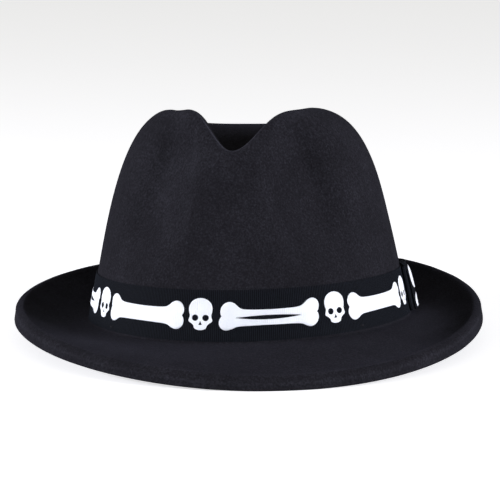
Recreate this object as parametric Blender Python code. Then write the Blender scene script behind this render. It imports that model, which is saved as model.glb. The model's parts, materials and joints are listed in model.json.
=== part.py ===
"""A snap-brim felt hat (trilby) with a printed ribbon band, built piece by piece.

Units are metres. The hat stands on z = 0 as it rests on a table: the front of the brim and the back of the
head opening carry it. The front is towards -Y, the wearer's left is +X, and up is +Z. The shape is worked
out in the hat's own frame, where the foot of the crown lies level, and seat() then tips it onto the table.
Around the hat, phi is 0 at the front and a quarter turn at the wearer's left.
"""
import bmesh
import bpy
import numpy as np
from mathutils import Matrix

MM = 0.001

# Felt
FELT = 2.2 * MM
BASE_X, BASE_Y = 85.7 * MM, 101.6 * MM  # half width and half length of the crown at its foot
BASE_SADDLE = 1.35 * MM  # the foot dips this much at the front and back
BREAK_RADIUS = 1.5 * MM  # fillet between crown and brim
CROWN_HEIGHT = 113.4 * MM  # at the two horns
CROWN_BACK = 99.6 * MM
CROWN_NOTCH = 19.7 * MM  # how far the crest dips at the front
NOTCH_LEFT, NOTCH_RIGHT = np.radians(17.0), np.radians(13.5)  # its width on the wearer's left and right
HORN_RISE, HORN_PLACE, HORN_WIDTH = 1.2 * MM, np.radians(-25), np.radians(9)
BACK_SLOPE_START = np.radians(50)
DENT_FLOOR = 84.0 * MM
TAPER = 0.00224 / MM  # share of the width that the crown loses for each metre of height
CREST_SIDE, CREST_FRONT, CREST_BACK = 0.44, 0.71, 0.68  # crest line as a share of the foot
SHOULDER, SHOULDER_LIST, SHOULDER_ROUND = 5.5, 0.5, 0.42  # how squarely the wall turns over to the crest
PINCH_DEPTH = 8.0 * MM
PINCH_WIDTH = 15.0 * MM
PINCH_OUT, PINCH_LEVEL, PINCH_SPREAD = 28 * MM, 92 * MM, 0.33  # its line: 28 mm out at 92 mm up, wider below
PINCH_FOOT, PINCH_FADE = 33 * MM, 38 * MM

# Brim: the crest of its rolled edge, as it runs round the hat
BRIM_X, BRIM_Y, BRIM_SET_FORWARD = 121.1 * MM, 146.8 * MM, 1.1 * MM
BRIM_RISE, BRIM_FRONT_SNAP, BRIM_SIDE_RISE = 7.6 * MM, 16.4 * MM, 1.5 * MM
BRIM_LIST, BRIM_TWIST = 4.6 * MM, 1.9 * MM  # the left of a soft brim hangs a little lower
EDGE_ROLL = 3.0 * MM  # radius over which the edge turns down
EDGE_DEPTH = 7.3 * MM  # from the crest of the roll to the cut edge
EDGE_SLOPE = np.radians(80)
EDGE_ARC_SHARE = 0.6

# How the hat tips to stand on a table
SEAT_PITCH, SEAT_ROLL = np.radians(-3.3), np.radians(-2.0)
SEAT_SHIFT = (0.06 * MM, 0.8 * MM, 9.3 * MM)

# Ribbon and its prints
GAP = 0.3 * MM
RIBBON = 0.6 * MM
BAND_LOW, BAND_HIGH = 0.9 * MM, 25.9 * MM
BAND_MIDDLE = 13.4 * MM
BAND_START = 172 * MM  # arc length from the front to the band's under end
BAND_LAP = 10 * MM
LAP_RAMP = 10 * MM
REPEATS = 8
SKULL_HEIGHT, BONE_HEIGHT = 14.2 * MM, 13.3 * MM
PRINT_START = -14.5 * MM
FILM = 0.2 * MM
SKULL_DOME, SKULL_TOP = 6.25 * MM, 7.75 * MM  # radius of the dome, and its top above the print's middle
EYE_OUT, EYE_DOWN, EYE_RADIUS = 2.75 * MM, 1.8 * MM, 1.6 * MM
NOSE_TOP, NOSE_FOOT, NOSE_HALF = -3.9 * MM, -5.5 * MM, 0.95 * MM
PLAIN_LENGTH, SLOTTED_LENGTH = 53.5 * MM, 51.6 * MM
BONE_LOBE, BONE_LOBE_OFFSET = 4.2 * MM, 2.7 * MM
BONE_SHAFT = 3.7 * MM
PLAIN_DROP, SLOTTED_DROP, SLOTTED_LEAN = 0.5 * MM, 0.9 * MM, 0.12  # shaft below its ends, and their slant
SLOT_LENGTH, SLOT_HEIGHT, SLOT_BACK = 34 * MM, 2.3 * MM, 0.8 * MM

# Bow at the wearer's left
BOW_MIDDLE = 153 * MM
WRAP_WIDTH = 18 * MM
WRAP_LOW, WRAP_TALL = 1.5 * MM, 26.0 * MM
WRAP_TOP_OUT, WRAP_SWELL, WRAP_DROOP = 0.9 * MM, 4.1 * MM, 0.35 * MM
LOOP_INNER = 1.2 * MM  # the loop's inner layer, from the band's inner face to the layer's middle
LOOP_FOLD = 0.6 * MM  # radius of a loop's end
FRONT_LOOP_END = 140.5 * MM
REAR_LOOP_END = 185.5 * MM
REAR_LOOP_LIFT = 0.9 * MM  # where the rear loop passes over the band's lap
REAR_LOOP_RISE = 1.7 * MM
LOOP_INSET_LOW, LOOP_INSET_HIGH = 0.5 * MM, 0.4 * MM  # a loop's edges inside the band's
LOOP_GATHER_LOW, LOOP_GATHER_HIGH = 3.0 * MM, 3.2 * MM  # and how much more they draw in under the wrap
FRONT_GATHER, REAR_GATHER = 11 * MM, 16 * MM
REAR_SKULL_HEIGHT = 13.2 * MM

WRAP_SKULL_HEIGHT = 18.4 * MM  # the wrap's ribbon runs upright, so its prints lie on their sides
WRAP_BONE_TOP = 9.4 * MM
WRAP_BONE_LENGTH = 7.2 * MM

# Thread tacks on the ribbon's lower edge, as shares of the way round
TACKS = (0.13, 0.37, 0.63, 0.87)
TACK_LENGTH, TACK_HEIGHT = 2.4 * MM, 2.9 * MM
THREAD = 0.2 * MM

# Inside
SWEATBAND = 0.8 * MM
SWEATBAND_LOW, SWEATBAND_HIGH = 2.8 * MM, 29.0 * MM
SWEATBAND_OPEN = 0.6 * MM  # half the slit at the back where its ends butt
REED = 0.7 * MM
SEAM_HEIGHT = 4.8 * MM
INNER_BOW_HALF, INNER_BOW_HEIGHT = 11 * MM, 20 * MM
INNER_BOW_KNOT, INNER_BOW_FLARE = 1.2 * MM, 2.8 * MM  # half width at the knot, and how much it grows
LABEL = 0.3 * MM
SIZE_LABEL_FROM_BACK, SIZE_LABEL_WIDTH = 60 * MM, 18 * MM
SIZE_LABEL_LOW, SIZE_LABEL_HIGH = 14 * MM, 23 * MM
LABEL_PLACE = np.radians(-140)
LABEL_WIDTH, LABEL_DROP = 22 * MM, 18 * MM
LABEL_TOP, LABEL_CLEAR = 24 * MM, 1.6 * MM
LABEL_SEAM_OUT, LABEL_SEAM_UP, LABEL_SEAM_SHARE = 0.1 * MM, 0.6 * MM, 0.92

FELT_BLACK = (0.018, 0.018, 0.024, 1)
RIBBON_BLACK = (0.012, 0.013, 0.018, 1)
PRINT_WHITE = (0.86, 0.88, 0.92, 1)
STRIP_BLACK = (0.02, 0.02, 0.022, 1)
THREAD_BLACK = (0.03, 0.03, 0.035, 1)
LABEL_WHITE = (0.8, 0.8, 0.78, 1)
REED_CLEAR = (0.5, 0.52, 0.55, 1)


def clear_scene():
    for obj in list(bpy.data.objects):
        bpy.data.objects.remove(obj, do_unlink=True)


def material(name, colour, roughness):
    made = bpy.data.materials.new(name)
    made.use_nodes = True
    shader = made.node_tree.nodes["Principled BSDF"]
    shader.inputs["Base Color"].default_value = colour
    shader.inputs["Roughness"].default_value = roughness
    shader.inputs["Metallic"].default_value = 0.0
    return made


def smooth(x):
    x = np.clip(x, 0, 1)
    return x * x * (3 - 2 * x)


def stack(x, y, z):
    return np.stack(np.broadcast_arrays(x, y, z), -1)


def seat(points):
    """Tips points from the hat's own frame to the way it stands on a table."""
    turn = Matrix.Rotation(SEAT_PITCH, 3, "X") @ Matrix.Rotation(SEAT_ROLL, 3, "Y")
    return points @ np.array(turn).T + np.array(SEAT_SHIFT)


# The felt's outer surface


def base_height(phi):
    return -BASE_SADDLE * np.cos(2 * phi)


def from_front(phi):
    return (phi + np.pi) % (2 * np.pi) - np.pi


def level_crest(phi):
    """Height of the crest without its notch: level at the horns and lower at the back."""
    turn = from_front(phi)
    back = smooth((np.abs(turn) - BACK_SLOPE_START) / (np.pi - BACK_SLOPE_START))
    horn = HORN_RISE * np.exp(-(((turn - HORN_PLACE) / HORN_WIDTH) ** 2))
    return CROWN_HEIGHT - (CROWN_HEIGHT - CROWN_BACK) * back + horn


def notch(phi, spread=1.0):
    """The dip at the front, steeper on the wearer's right."""
    turn = from_front(phi)
    width = np.where(turn > 0, NOTCH_LEFT, NOTCH_RIGHT) * spread
    return CROWN_NOTCH * np.exp(-((turn / width) ** 2))


def crest_height(phi):
    return level_crest(phi) - notch(phi)


def crest_share(phi):
    """Where the crest lies, as a share of the way out to the foot."""
    c = np.cos(phi)
    end = np.where(c > 0, CREST_FRONT, CREST_BACK)
    return CREST_SIDE + (end - CREST_SIDE) * c * c


def crown_point(phi, share, height):
    foot = base_height(phi) * (1 - smooth(height / (60 * MM)))
    return stack(BASE_X * share * np.sin(phi), -BASE_Y * share * np.cos(phi), height + foot)


def pinch(phi, height):
    """How far the two finger dents beside the nose push the wall in."""
    line = PINCH_OUT + (PINCH_LEVEL - height) * PINCH_SPREAD
    off = (np.abs(BASE_X * np.sin(phi)) - line) / PINCH_WIDTH
    front = smooth(np.cos(phi) / 0.35)
    return PINCH_DEPTH * np.exp(-off * off) * smooth((height - PINCH_FOOT) / PINCH_FADE) * front


def wall(phi, up):
    """The side wall, from the foot (up = 0) to the crest (up = 1): a cone that rounds over to the crest."""
    height = crest_height(phi) * up
    crest = crest_share(phi)
    cone = 1 - TAPER * height
    power = SHOULDER + SHOULDER_LIST * np.sin(phi)
    share = crest + (cone - crest) * np.clip(1 - up**power, 0, 1) ** SHOULDER_ROUND
    return crown_point(phi, share - pinch(phi, height) / BASE_Y, height)


def dent(phi, inward):
    """The hollow in the top, from the crest (inward = 0) to its middle (inward = 1): a cosine slope.
    The notch keeps its width on the way in, so that it opens into a valley."""
    start = crest_share(phi) - pinch(phi, crest_height(phi)) / BASE_Y
    crest = level_crest(phi) - notch(phi, 1 / np.maximum(1 - inward, 0.02))
    height = crest - (crest - DENT_FLOOR) * (1 - np.cos(np.pi * inward)) / 2
    return crown_point(phi, start * (1 - inward), height)


def ellipse_normal(phi, half_x, half_y):
    x, y = np.sin(phi) / half_x, -np.cos(phi) / half_y
    length = np.hypot(x, y)
    return x / length, y / length


def edge_crest(phi):
    """The highest line of the brim's rolled edge."""
    z = BRIM_RISE - BRIM_FRONT_SNAP * np.cos(phi) - BRIM_SIDE_RISE * np.cos(2 * phi)
    z = z - BRIM_LIST * np.sin(phi) - BRIM_TWIST * np.sin(2 * phi)
    return BRIM_X * np.sin(phi), -BRIM_SET_FORWARD - BRIM_Y * np.cos(phi), z


def edge_tangent(phi):
    """Slope at which the brim runs into its rolled edge: down at the front, up at the sides and back."""
    return np.radians(20.7 - 28.5 * np.cos(phi) - 7.2 * np.cos(2 * phi))


def rolled_edge(phi, along):
    """The edge, from the start of the roll (along = 0) round its arc and down to the cut edge (along = 1)."""
    start = edge_tangent(phi)
    x, y, z = edge_crest(phi)
    out_x, out_y = ellipse_normal(phi, BRIM_X, BRIM_Y)
    angle = start - (start + EDGE_SLOPE) * np.clip(along / EDGE_ARC_SHARE, 0, 1)
    crest_back = np.where(start > 0, 1 - np.cos(start), 0)
    out = EDGE_ROLL * (np.sin(start) - np.sin(angle) - np.maximum(np.sin(start), 0))
    up = EDGE_ROLL * (np.cos(angle) - np.cos(start) - crest_back)
    arc_drop = EDGE_ROLL * (np.cos(EDGE_SLOPE) - np.cos(start) - crest_back)
    past_arc = np.clip((along - EDGE_ARC_SHARE) / (1 - EDGE_ARC_SHARE), 0, 1)
    straight = (EDGE_DEPTH + arc_drop) / np.sin(EDGE_SLOPE) * past_arc
    out = out + straight * np.cos(EDGE_SLOPE)
    up = up - straight * np.sin(EDGE_SLOPE)
    return stack(x + out_x * out, y + out_y * out, z + up)


def brim_foot(phi):
    out_x, out_y = ellipse_normal(phi, BASE_X, BASE_Y)
    slope = np.tan(np.radians(-3 - 8 * np.cos(phi)))
    x = BASE_X * np.sin(phi) + BREAK_RADIUS * out_x
    y = -BASE_Y * np.cos(phi) + BREAK_RADIUS * out_y
    return stack(x, y, base_height(phi) + BREAK_RADIUS * slope), slope


def brim(phi, out):
    """From the break (out = 0) to the rolled edge (out = 1): straight lines in plan, a cubic in height."""
    inner, slope = brim_foot(phi)
    outer = rolled_edge(phi, np.zeros_like(phi))
    reach = np.hypot(outer[..., 0] - inner[..., 0], outer[..., 1] - inner[..., 1])
    first, last = reach * slope, reach * np.tan(edge_tangent(phi))
    z = (
        inner[..., 2] * (2 * out**3 - 3 * out**2 + 1)
        + first * (out**3 - 2 * out**2 + out)
        + outer[..., 2] * (3 * out**2 - 2 * out**3)
        + last * (out**3 - out**2)
    )
    flat = inner + (outer - inner) * out[..., None]
    return stack(flat[..., 0], flat[..., 1], z)


def break_line(phi, along):
    """The fillet between brim (along = 0) and crown (along = 1), a curve guided by the sharp corner."""
    low, _ = brim_foot(phi)
    high = wall(phi, BREAK_RADIUS / crest_height(phi))
    corner = wall(phi, np.zeros_like(phi))
    a = along[..., None]
    return low * (1 - a) ** 2 + corner * 2 * a * (1 - a) + high * a**2


def shares(count):
    """Even shares from 0 up to but not including 1."""
    return np.linspace(0, 1, count + 1)[:-1]


def felt_rows(phi, edge_rows, brim_rows, break_rows, wall_rows, dent_rows):
    """The outer surface as rows of points from the cut edge to near the middle of the dent."""
    rows = [rolled_edge(phi, np.full_like(phi, 1 - a)) for a in shares(edge_rows)]
    rows += [brim(phi, np.full_like(phi, 1 - a)) for a in shares(brim_rows)]
    rows += [break_line(phi, np.full_like(phi, a)) for a in shares(break_rows)]
    start = BREAK_RADIUS / crest_height(phi)
    rows += [wall(phi, start + (1 - start) * (1 - (1 - a) ** 1.8)) for a in shares(wall_rows)]
    rows += [dent(phi, np.full_like(phi, a)) for a in shares(dent_rows)]
    return np.array(rows)


def grid_normals(rows, closed):
    """Unit normals of a grid of points, from the slopes along and across it. They point up and out."""
    along = np.gradient(rows, axis=0)
    if closed:
        across = np.roll(rows, -1, axis=1) - np.roll(rows, 1, axis=1)
    else:
        across = np.gradient(rows, axis=1)
    normal = np.cross(across, along)
    return normal / np.maximum(np.linalg.norm(normal, axis=-1, keepdims=True), 1e-12)


# Turning grids into solids


def add_object(name, bm, finish, flat=False):
    bmesh.ops.recalc_face_normals(bm, faces=bm.faces)
    mesh = bpy.data.meshes.new(name)
    bm.to_mesh(mesh)
    bm.free()
    if not flat:
        mesh.shade_smooth()
        mesh.set_sharp_from_angle(angle=np.radians(40))
    mesh.materials.append(finish)
    obj = bpy.data.objects.new(name, mesh)
    bpy.context.scene.collection.objects.link(obj)
    return obj


def grid_faces(bm, verts, closed):
    rows, columns = len(verts), len(verts[0])
    for r in range(rows - 1):
        for c in range(columns if closed else columns - 1):
            d = (c + 1) % columns
            bm.faces.new((verts[r][c], verts[r][d], verts[r + 1][d], verts[r + 1][c]))


def thick_grid(name, front, back, finish):
    """A solid between two grids of points of the same size, with a rim joining their borders."""
    bm = bmesh.new()
    sides = [[[bm.verts.new(p) for p in row] for row in grid] for grid in (front, back)]
    for verts in sides:
        grid_faces(bm, verts, False)
    rows, columns = len(front), len(front[0])
    border = [[(0, c) for c in range(columns)], [(rows - 1, c) for c in range(columns)]]
    border += [[(r, 0) for r in range(rows)], [(r, columns - 1) for r in range(rows)]]
    for line in border:
        for (r0, c0), (r1, c1) in zip(line, line[1:]):
            bm.faces.new((sides[0][r0][c0], sides[0][r1][c1], sides[1][r1][c1], sides[1][r0][c0]))
    return add_object(name, bm, finish)


def felt_hood(finish):
    phi = np.linspace(0, 2 * np.pi, 84, endpoint=False)
    outer = felt_rows(phi, edge_rows=4, brim_rows=5, break_rows=2, wall_rows=10, dent_rows=5)
    inner = outer - grid_normals(outer, True) * FELT
    outer, inner = seat(outer), seat(inner)
    for side in (outer, inner):
        side[..., 2] = np.maximum(side[..., 2], 0)  # soft felt flattens where it meets the table
    top = seat(crown_point(np.zeros(1), np.zeros(1), np.array([DENT_FLOOR])))[0]
    bm = bmesh.new()
    sides = [[[bm.verts.new(p) for p in row] for row in grid] for grid in (outer, inner)]
    for verts, centre in zip(sides, (top, top - np.array((0, 0, FELT)))):
        grid_faces(bm, verts, True)
        middle = bm.verts.new(centre)
        last = verts[-1]
        for c in range(len(last)):
            bm.faces.new((last[c], last[(c + 1) % len(last)], middle))
    for c in range(len(phi)):
        d = (c + 1) % len(phi)
        bm.faces.new((sides[0][0][c], sides[0][0][d], sides[1][0][d], sides[1][0][c]))
    return add_object("felt_hood", bm, finish)


# Places on the crown's wall, by arc length from the front, height and distance from the felt


def arc_table():
    phi = np.linspace(-2 * np.pi, 2 * np.pi, 2881)
    line = wall(phi, BAND_MIDDLE / crest_height(phi))
    steps = np.linalg.norm(np.diff(line, axis=0), axis=1)
    length = np.concatenate([[0], np.cumsum(steps)])
    return phi, length - np.interp(0, phi, length)


ARC_PHI, ARC_LENGTH = arc_table()
GIRTH = np.interp(2 * np.pi, ARC_PHI, ARC_LENGTH)


def phi_at(along):
    turns = np.floor(along / GIRTH)
    return np.interp(along - turns * GIRTH, ARC_LENGTH, ARC_PHI) + turns * 2 * np.pi


def on_wall(along, height, out):
    """The place that lies out from the felt's outer face, still in the hat's own frame."""
    along, height, out = np.broadcast_arrays(along, height, out)
    phi = phi_at(along)
    step = 0.5 * MM
    here = wall(phi, height / crest_height(phi))
    up = wall(phi, (height + step) / crest_height(phi)) - here
    turn = 0.004
    side = wall(phi + turn, height / crest_height(phi + turn)) - here
    normal = np.cross(side, up)
    normal = normal / np.linalg.norm(normal, axis=-1, keepdims=True)
    return here + normal * out[..., None]


def outside(along, height, out):
    return seat(on_wall(along, height, GAP + out))


def inside(along, height, inward):
    return seat(on_wall(along, height, -(FELT + GAP + inward)))


def ribbon_band(finish):
    """One strip that goes round once and laps over its own start, rising over it on a short ramp."""
    start, end = BAND_START, BAND_START + GIRTH + BAND_LAP
    once_round = np.linspace(start, start + GIRTH - LAP_RAMP, 92)
    along = np.concatenate([once_round, np.linspace(start + GIRTH, end, 4)])
    lift = (RIBBON + GAP) * smooth((along - start - GIRTH + LAP_RAMP) / LAP_RAMP)
    heights = np.array([BAND_LOW, BAND_HIGH])[:, None]
    thick_grid("ribbon_band", outside(along, heights, lift + RIBBON), outside(along, heights, lift), finish)


# Printed films


def arc_points(centre, radius, first, last, count):
    angle = np.radians(np.linspace(first, last, count))
    return [(centre[0] + radius * np.cos(a), centre[1] + radius * np.sin(a)) for a in angle]


def mirrored(points):
    """The same points on the other side of the upright axis, in reverse order so that the outline goes on."""
    return [(-x, y) for x, y in reversed(points)]


def skull_outline():
    """Right half from the top of the head down to the chin, then its mirror image."""
    dome = arc_points((0, SKULL_TOP - SKULL_DOME), SKULL_DOME, 90, -10, 7)
    face = ((5.65, -0.7), (6.2, -2.9), (5.4, -4.1), (3.9, -5.1), (3.3, -6.4), (2.8, -7.2), (1.2, -7.7))
    right = dome + [(x * MM, y * MM) for x, y in face]
    return right + mirrored(right[1:])


def skull_holes():
    eyes = [arc_points((side * EYE_OUT, -EYE_DOWN), EYE_RADIUS, 0, 320, 9) for side in (-1, 1)]
    nose = [(0, NOSE_TOP), (-NOSE_HALF, NOSE_FOOT), (NOSE_HALF, NOSE_FOOT)]
    return [*eyes, nose]


def bone_side(length, drop, side):
    """From the notch in one end, round a lobe and down its slope to the shaft."""
    lobe_x = length / 2 - BONE_LOBE
    notch_angle = np.degrees(np.arcsin(BONE_LOBE_OFFSET / BONE_LOBE))
    lobe = arc_points((lobe_x, BONE_LOBE_OFFSET), BONE_LOBE, 12 - notch_angle, 135, 7)
    shaft_out = BONE_SHAFT - side * drop
    slope_out = shaft_out + 0.9 * MM
    slope_x = lobe_x - (BONE_LOBE_OFFSET + BONE_LOBE * np.sqrt(2) - slope_out)
    line = [*lobe, (slope_x, slope_out), (slope_x - 3.5 * MM, shaft_out + 0.15 * MM)]
    return [(x, side * y) for x, y in line]


def bone_end(length, drop):
    """One end, from the shaft's lower edge round both lobes to its upper edge."""
    notch_x = length / 2 - BONE_LOBE + np.sqrt(BONE_LOBE**2 - BONE_LOBE_OFFSET**2)
    return [*reversed(bone_side(length, drop, -1)), (notch_x, 0), *bone_side(length, drop, 1)]


def bone_outline(length, drop, lean=0.0):
    right = bone_end(length, drop)
    return [(x + lean * y, y) for x, y in right + mirrored(right)]


def slot_outline():
    """A lens with pointed ends, from two flat arcs."""
    across = np.linspace(-1, 1, 7)
    upper = [(SLOT_LENGTH / 2 * a, SLOT_HEIGHT / 2 * (1 - a * a)) for a in across]
    lens = upper + [(x, -y) for x, y in reversed(upper[1:-1])]
    return [(x - SLOT_BACK, y - SLOTTED_DROP) for x, y in lens]


def wrap_bone_outline():
    """One end of a plain bone, its notch at x = 0, cut square where it goes out of sight."""
    end = bone_end(PLAIN_LENGTH, PLAIN_DROP)
    notch_x = max(x for x, y in end if y == 0)
    seen = [(x - notch_x, y) for x, y in end if x > notch_x - WRAP_BONE_LENGTH]
    return [*seen, (-WRAP_BONE_LENGTH, BONE_SHAFT), (-WRAP_BONE_LENGTH, -BONE_SHAFT)]


def film(name, outline, holes, place, finish, cuts=()):
    """A thin flat shape cut from film: filled, cut where it has to bend, given its thickness, then laid."""
    bm = bmesh.new()
    for loop in [outline, *holes]:
        verts = [bm.verts.new((x, y, 0)) for x, y in loop]
        for a, b in zip(verts, verts[1:] + verts[:1]):
            bm.edges.new((a, b))
    bmesh.ops.triangle_fill(bm, use_beauty=True, edges=bm.edges[:], normal=(0, 0, 1))
    for cut in cuts:
        whole = bm.verts[:] + bm.edges[:] + bm.faces[:]
        bmesh.ops.bisect_plane(bm, geom=whole, dist=1e-6, plane_co=(cut, 0, 0), plane_no=(1, 0, 0))
    lifted = bmesh.ops.extrude_face_region(bm, geom=bm.faces[:], use_keep_orig=True)
    for element in lifted["geom"]:
        if isinstance(element, bmesh.types.BMVert):
            element.co.z = FILM
    flat = np.array([v.co for v in bm.verts], float)
    for vert, point in zip(bm.verts, place(flat[:, 0], flat[:, 1], flat[:, 2])):
        vert.co = point
    add_object(name, bm, finish, flat=True)


def on_band(middle, height):
    return lambda x, y, z: outside(middle + x, height + y, RIBBON + GAP + z)


def band_prints(finish):
    pitch = GIRTH / REPEATS
    cuts = np.linspace(-PLAIN_LENGTH / 2, PLAIN_LENGTH / 2, 11)[1:-1]
    plain_outline = bone_outline(PLAIN_LENGTH, PLAIN_DROP)
    slotted_outline = bone_outline(SLOTTED_LENGTH, SLOTTED_DROP, SLOTTED_LEAN)
    plain = slotted = 0
    for i in range(REPEATS):
        skull = on_band(PRINT_START + i * pitch, SKULL_HEIGHT)
        film(f"skull_print_{i + 1}", skull_outline(), skull_holes(), skull, finish, cuts=(0,))
        bone_at = PRINT_START + (i + 0.5) * pitch
        if abs(bone_at - BAND_START - BAND_LAP / 2) < PLAIN_LENGTH / 2:
            continue  # the ribbon's two ends meet here, under the bow
        bone = on_band(bone_at, BONE_HEIGHT)
        if i % 2:
            plain += 1
            film(f"plain_bone_print_{plain}", plain_outline, [], bone, finish, cuts)
        else:
            slotted += 1
            film(f"slotted_bone_print_{slotted}", slotted_outline, [slot_outline()], bone, finish, cuts)


# The bow


def offset_path(path, half):
    """The two sides of a strip whose middle follows a path in a plane."""
    step = np.gradient(path, axis=0)
    step = step / np.linalg.norm(step, axis=1, keepdims=True)
    side = np.stack([-step[:, 1], step[:, 0]], -1)
    return path + side * half, path - side * half


def loop_strip(name, path, finish, narrow_from):
    """A ribbon loop that stands on the band: the path gives arc length and distance out. It is gathered
    under the wrap, where its edges draw in."""
    sides = []
    for line in offset_path(path, RIBBON / 2):
        gather = smooth(1 - np.abs(path[:, 0] - BOW_MIDDLE) / narrow_from)
        low = BAND_LOW + LOOP_INSET_LOW + LOOP_GATHER_LOW * gather
        high = BAND_HIGH - LOOP_INSET_HIGH - LOOP_GATHER_HIGH * gather
        rows = [low + (high - low) * share for share in (0, 0.5, 1)]
        sides.append(np.array([outside(line[:, 0], row, line[:, 1]) for row in rows]))
    thick_grid(name, sides[0], sides[1], finish)


def fold(middle, radius, towards, count=5):
    """Half a turn from the inner layer to the outer one."""
    angle = np.linspace(-np.pi / 2, np.pi / 2, count)
    return np.stack([middle[0] + towards * radius * np.cos(angle), middle[1] + radius * np.sin(angle)], -1)


def front_loop_path():
    middle = (FRONT_LOOP_END + LOOP_FOLD, LOOP_INNER + LOOP_FOLD)
    turn = fold(middle, LOOP_FOLD, -1)
    under = np.linspace([BOW_MIDDLE - GAP, LOOP_INNER], turn[0], 5)[:-1]
    over = np.linspace(turn[-1], [BOW_MIDDLE - GAP, LOOP_INNER + 1.5 * LOOP_FOLD], 5)[1:]
    return np.concatenate([under, turn, over])


def rear_loop_inner(along):
    return LOOP_INNER + REAR_LOOP_LIFT * smooth((along - BOW_MIDDLE - WRAP_WIDTH / 2) / (10 * MM))


def rear_loop_outer(along):
    """The outer layer rises away from the wrap and falls again to the fold."""
    share = (along - BOW_MIDDLE - WRAP_WIDTH / 2) / (REAR_LOOP_END - BOW_MIDDLE - WRAP_WIDTH / 2)
    rise = REAR_LOOP_RISE * np.sin(np.pi * np.clip(share, 0, 1))
    return rear_loop_inner(along) + LOOP_FOLD * (1.5 + 0.5 * smooth(share * 3)) + rise


def rear_loop_path():
    end = REAR_LOOP_END - LOOP_FOLD
    turn = fold((end, rear_loop_inner(end) + LOOP_FOLD), LOOP_FOLD, 1)
    along = np.linspace(BOW_MIDDLE + GAP, end - 1.5 * MM, 9)
    under = np.stack([along, rear_loop_inner(along)], -1)
    over = np.stack([along, rear_loop_outer(along)], -1)[::-1]
    return np.concatenate([under, turn, over])


def wrap_out(height):
    """How far the wrap's middle stands from the felt at each height: steep at the top, fullest low down."""
    share = np.clip((height - WRAP_LOW) / WRAP_TALL, 0, 1)
    return WRAP_TOP_OUT + WRAP_SWELL * np.sqrt(1 - share**6)


def wrap_surface(across, height, out):
    """A point on or above the wrap, whose sides curve back a little."""
    droop = WRAP_DROOP * (2 * across / WRAP_WIDTH) ** 2
    return outside(BOW_MIDDLE + across, height, wrap_out(height) + out - droop)


def bow_wrap(finish):
    across = np.linspace(-WRAP_WIDTH / 2, WRAP_WIDTH / 2, 7)
    heights = (WRAP_LOW + WRAP_TALL * (1 - (1 - np.linspace(0, 1, 11)) ** 1.6))[:, None]
    thick_grid("bow_wrap", wrap_surface(across, heights, 0), wrap_surface(across, heights, -RIBBON), finish)


def bow(ribbon, white):
    loop_strip("bow_front_loop", front_loop_path(), ribbon, FRONT_GATHER)
    loop_strip("bow_rear_loop", rear_loop_path(), ribbon, REAR_GATHER)
    bow_wrap(ribbon)
    middle = (BOW_MIDDLE + WRAP_WIDTH / 2 + REAR_LOOP_END) / 2
    lift = RIBBON / 2 + GAP

    def rear_place(x, y, z):
        along = middle + x
        return outside(along, REAR_SKULL_HEIGHT + y, rear_loop_outer(along) + lift + z)

    film("rear_loop_skull_print", skull_outline(), skull_holes(), rear_place, white, (-3 * MM, 0, 3 * MM))

    def wrap_place(height):
        return lambda x, y, z: wrap_surface(-y, height + x, GAP + z)

    skull = wrap_place(WRAP_SKULL_HEIGHT)
    cuts = np.linspace(-SKULL_DOME, SKULL_DOME, 9)[1:-1]
    film("wrap_skull_print", skull_outline(), skull_holes(), skull, white, cuts)
    bone = wrap_place(WRAP_BONE_TOP)
    film("wrap_bone_print", wrap_bone_outline(), [], bone, white, (-4 * MM, -2 * MM))


# Tacks, sweatband and labels


def ring_tube(name, points, radius, finish, sides):
    """A round thread or rod along a line of points, as a curve with a bevel and filled ends."""
    curve = bpy.data.curves.new(name, "CURVE")
    curve.dimensions = "3D"
    curve.bevel_depth = radius
    curve.bevel_resolution = sides
    curve.use_fill_caps = True
    spline = curve.splines.new("POLY")
    spline.points.add(len(points) - 1)
    for place, point in zip(spline.points, points):
        place.co = (*point, 1)
    curve.materials.append(finish)
    obj = bpy.data.objects.new(name, curve)
    bpy.context.scene.collection.objects.link(obj)
    return obj


def band_tacks(finish):
    for i, share in enumerate(TACKS):
        along = GIRTH * share + np.linspace(-0.5, 0.5, 5) * TACK_LENGTH
        line = outside(along, TACK_HEIGHT, RIBBON + GAP + THREAD)
        ring_tube(f"band_tack_{i + 1}", line, THREAD, finish, sides=1)


def sweatband(strip, reed, thread, satin):
    """The strip inside the crown, open at the back where its ends butt, with the reed along its foot."""
    half = GIRTH / 2 - SWEATBAND_OPEN
    along = np.linspace(-half, half, 90)
    heights = np.array([SWEATBAND_LOW, SWEATBAND_HIGH])[:, None]
    thick_grid("sweatband", inside(along, heights, 0.0), inside(along, heights, SWEATBAND), strip)
    along = np.linspace(SWEATBAND_OPEN - half, half - SWEATBAND_OPEN, 72)
    ring_tube("sweatband_reed", inside(along, SWEATBAND_LOW - GAP - REED, REED), REED, reed, sides=1)
    seam = inside(along, SEAM_HEIGHT, SWEATBAND + GAP + THREAD)
    ring_tube("sweatband_thread", seam, THREAD, thread, sides=0)
    sweatband_bow(satin)


def sweatband_bow(finish):
    """A small flat bow that hides where the sweatband's ends meet."""
    share = np.linspace(-1, 1, 9)
    half = INNER_BOW_KNOT + INNER_BOW_FLARE * np.abs(share) ** 0.8
    rows = INNER_BOW_HEIGHT + np.array([-1, 1])[:, None] * half
    along = GIRTH / 2 + share * INNER_BOW_HALF
    clear = SWEATBAND + GAP
    thick_grid("sweatband_bow", inside(along, rows, clear), inside(along, rows, clear + RIBBON), finish)


def size_label(finish):
    along = GIRTH / 2 - SIZE_LABEL_FROM_BACK + np.linspace(-0.5, 0.5, 5) * SIZE_LABEL_WIDTH
    rows = np.array([SIZE_LABEL_LOW, SIZE_LABEL_HIGH])[:, None]
    clear = SWEATBAND + GAP
    thick_grid("size_label", inside(along, rows, clear), inside(along, rows, clear + LABEL), finish)


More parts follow.
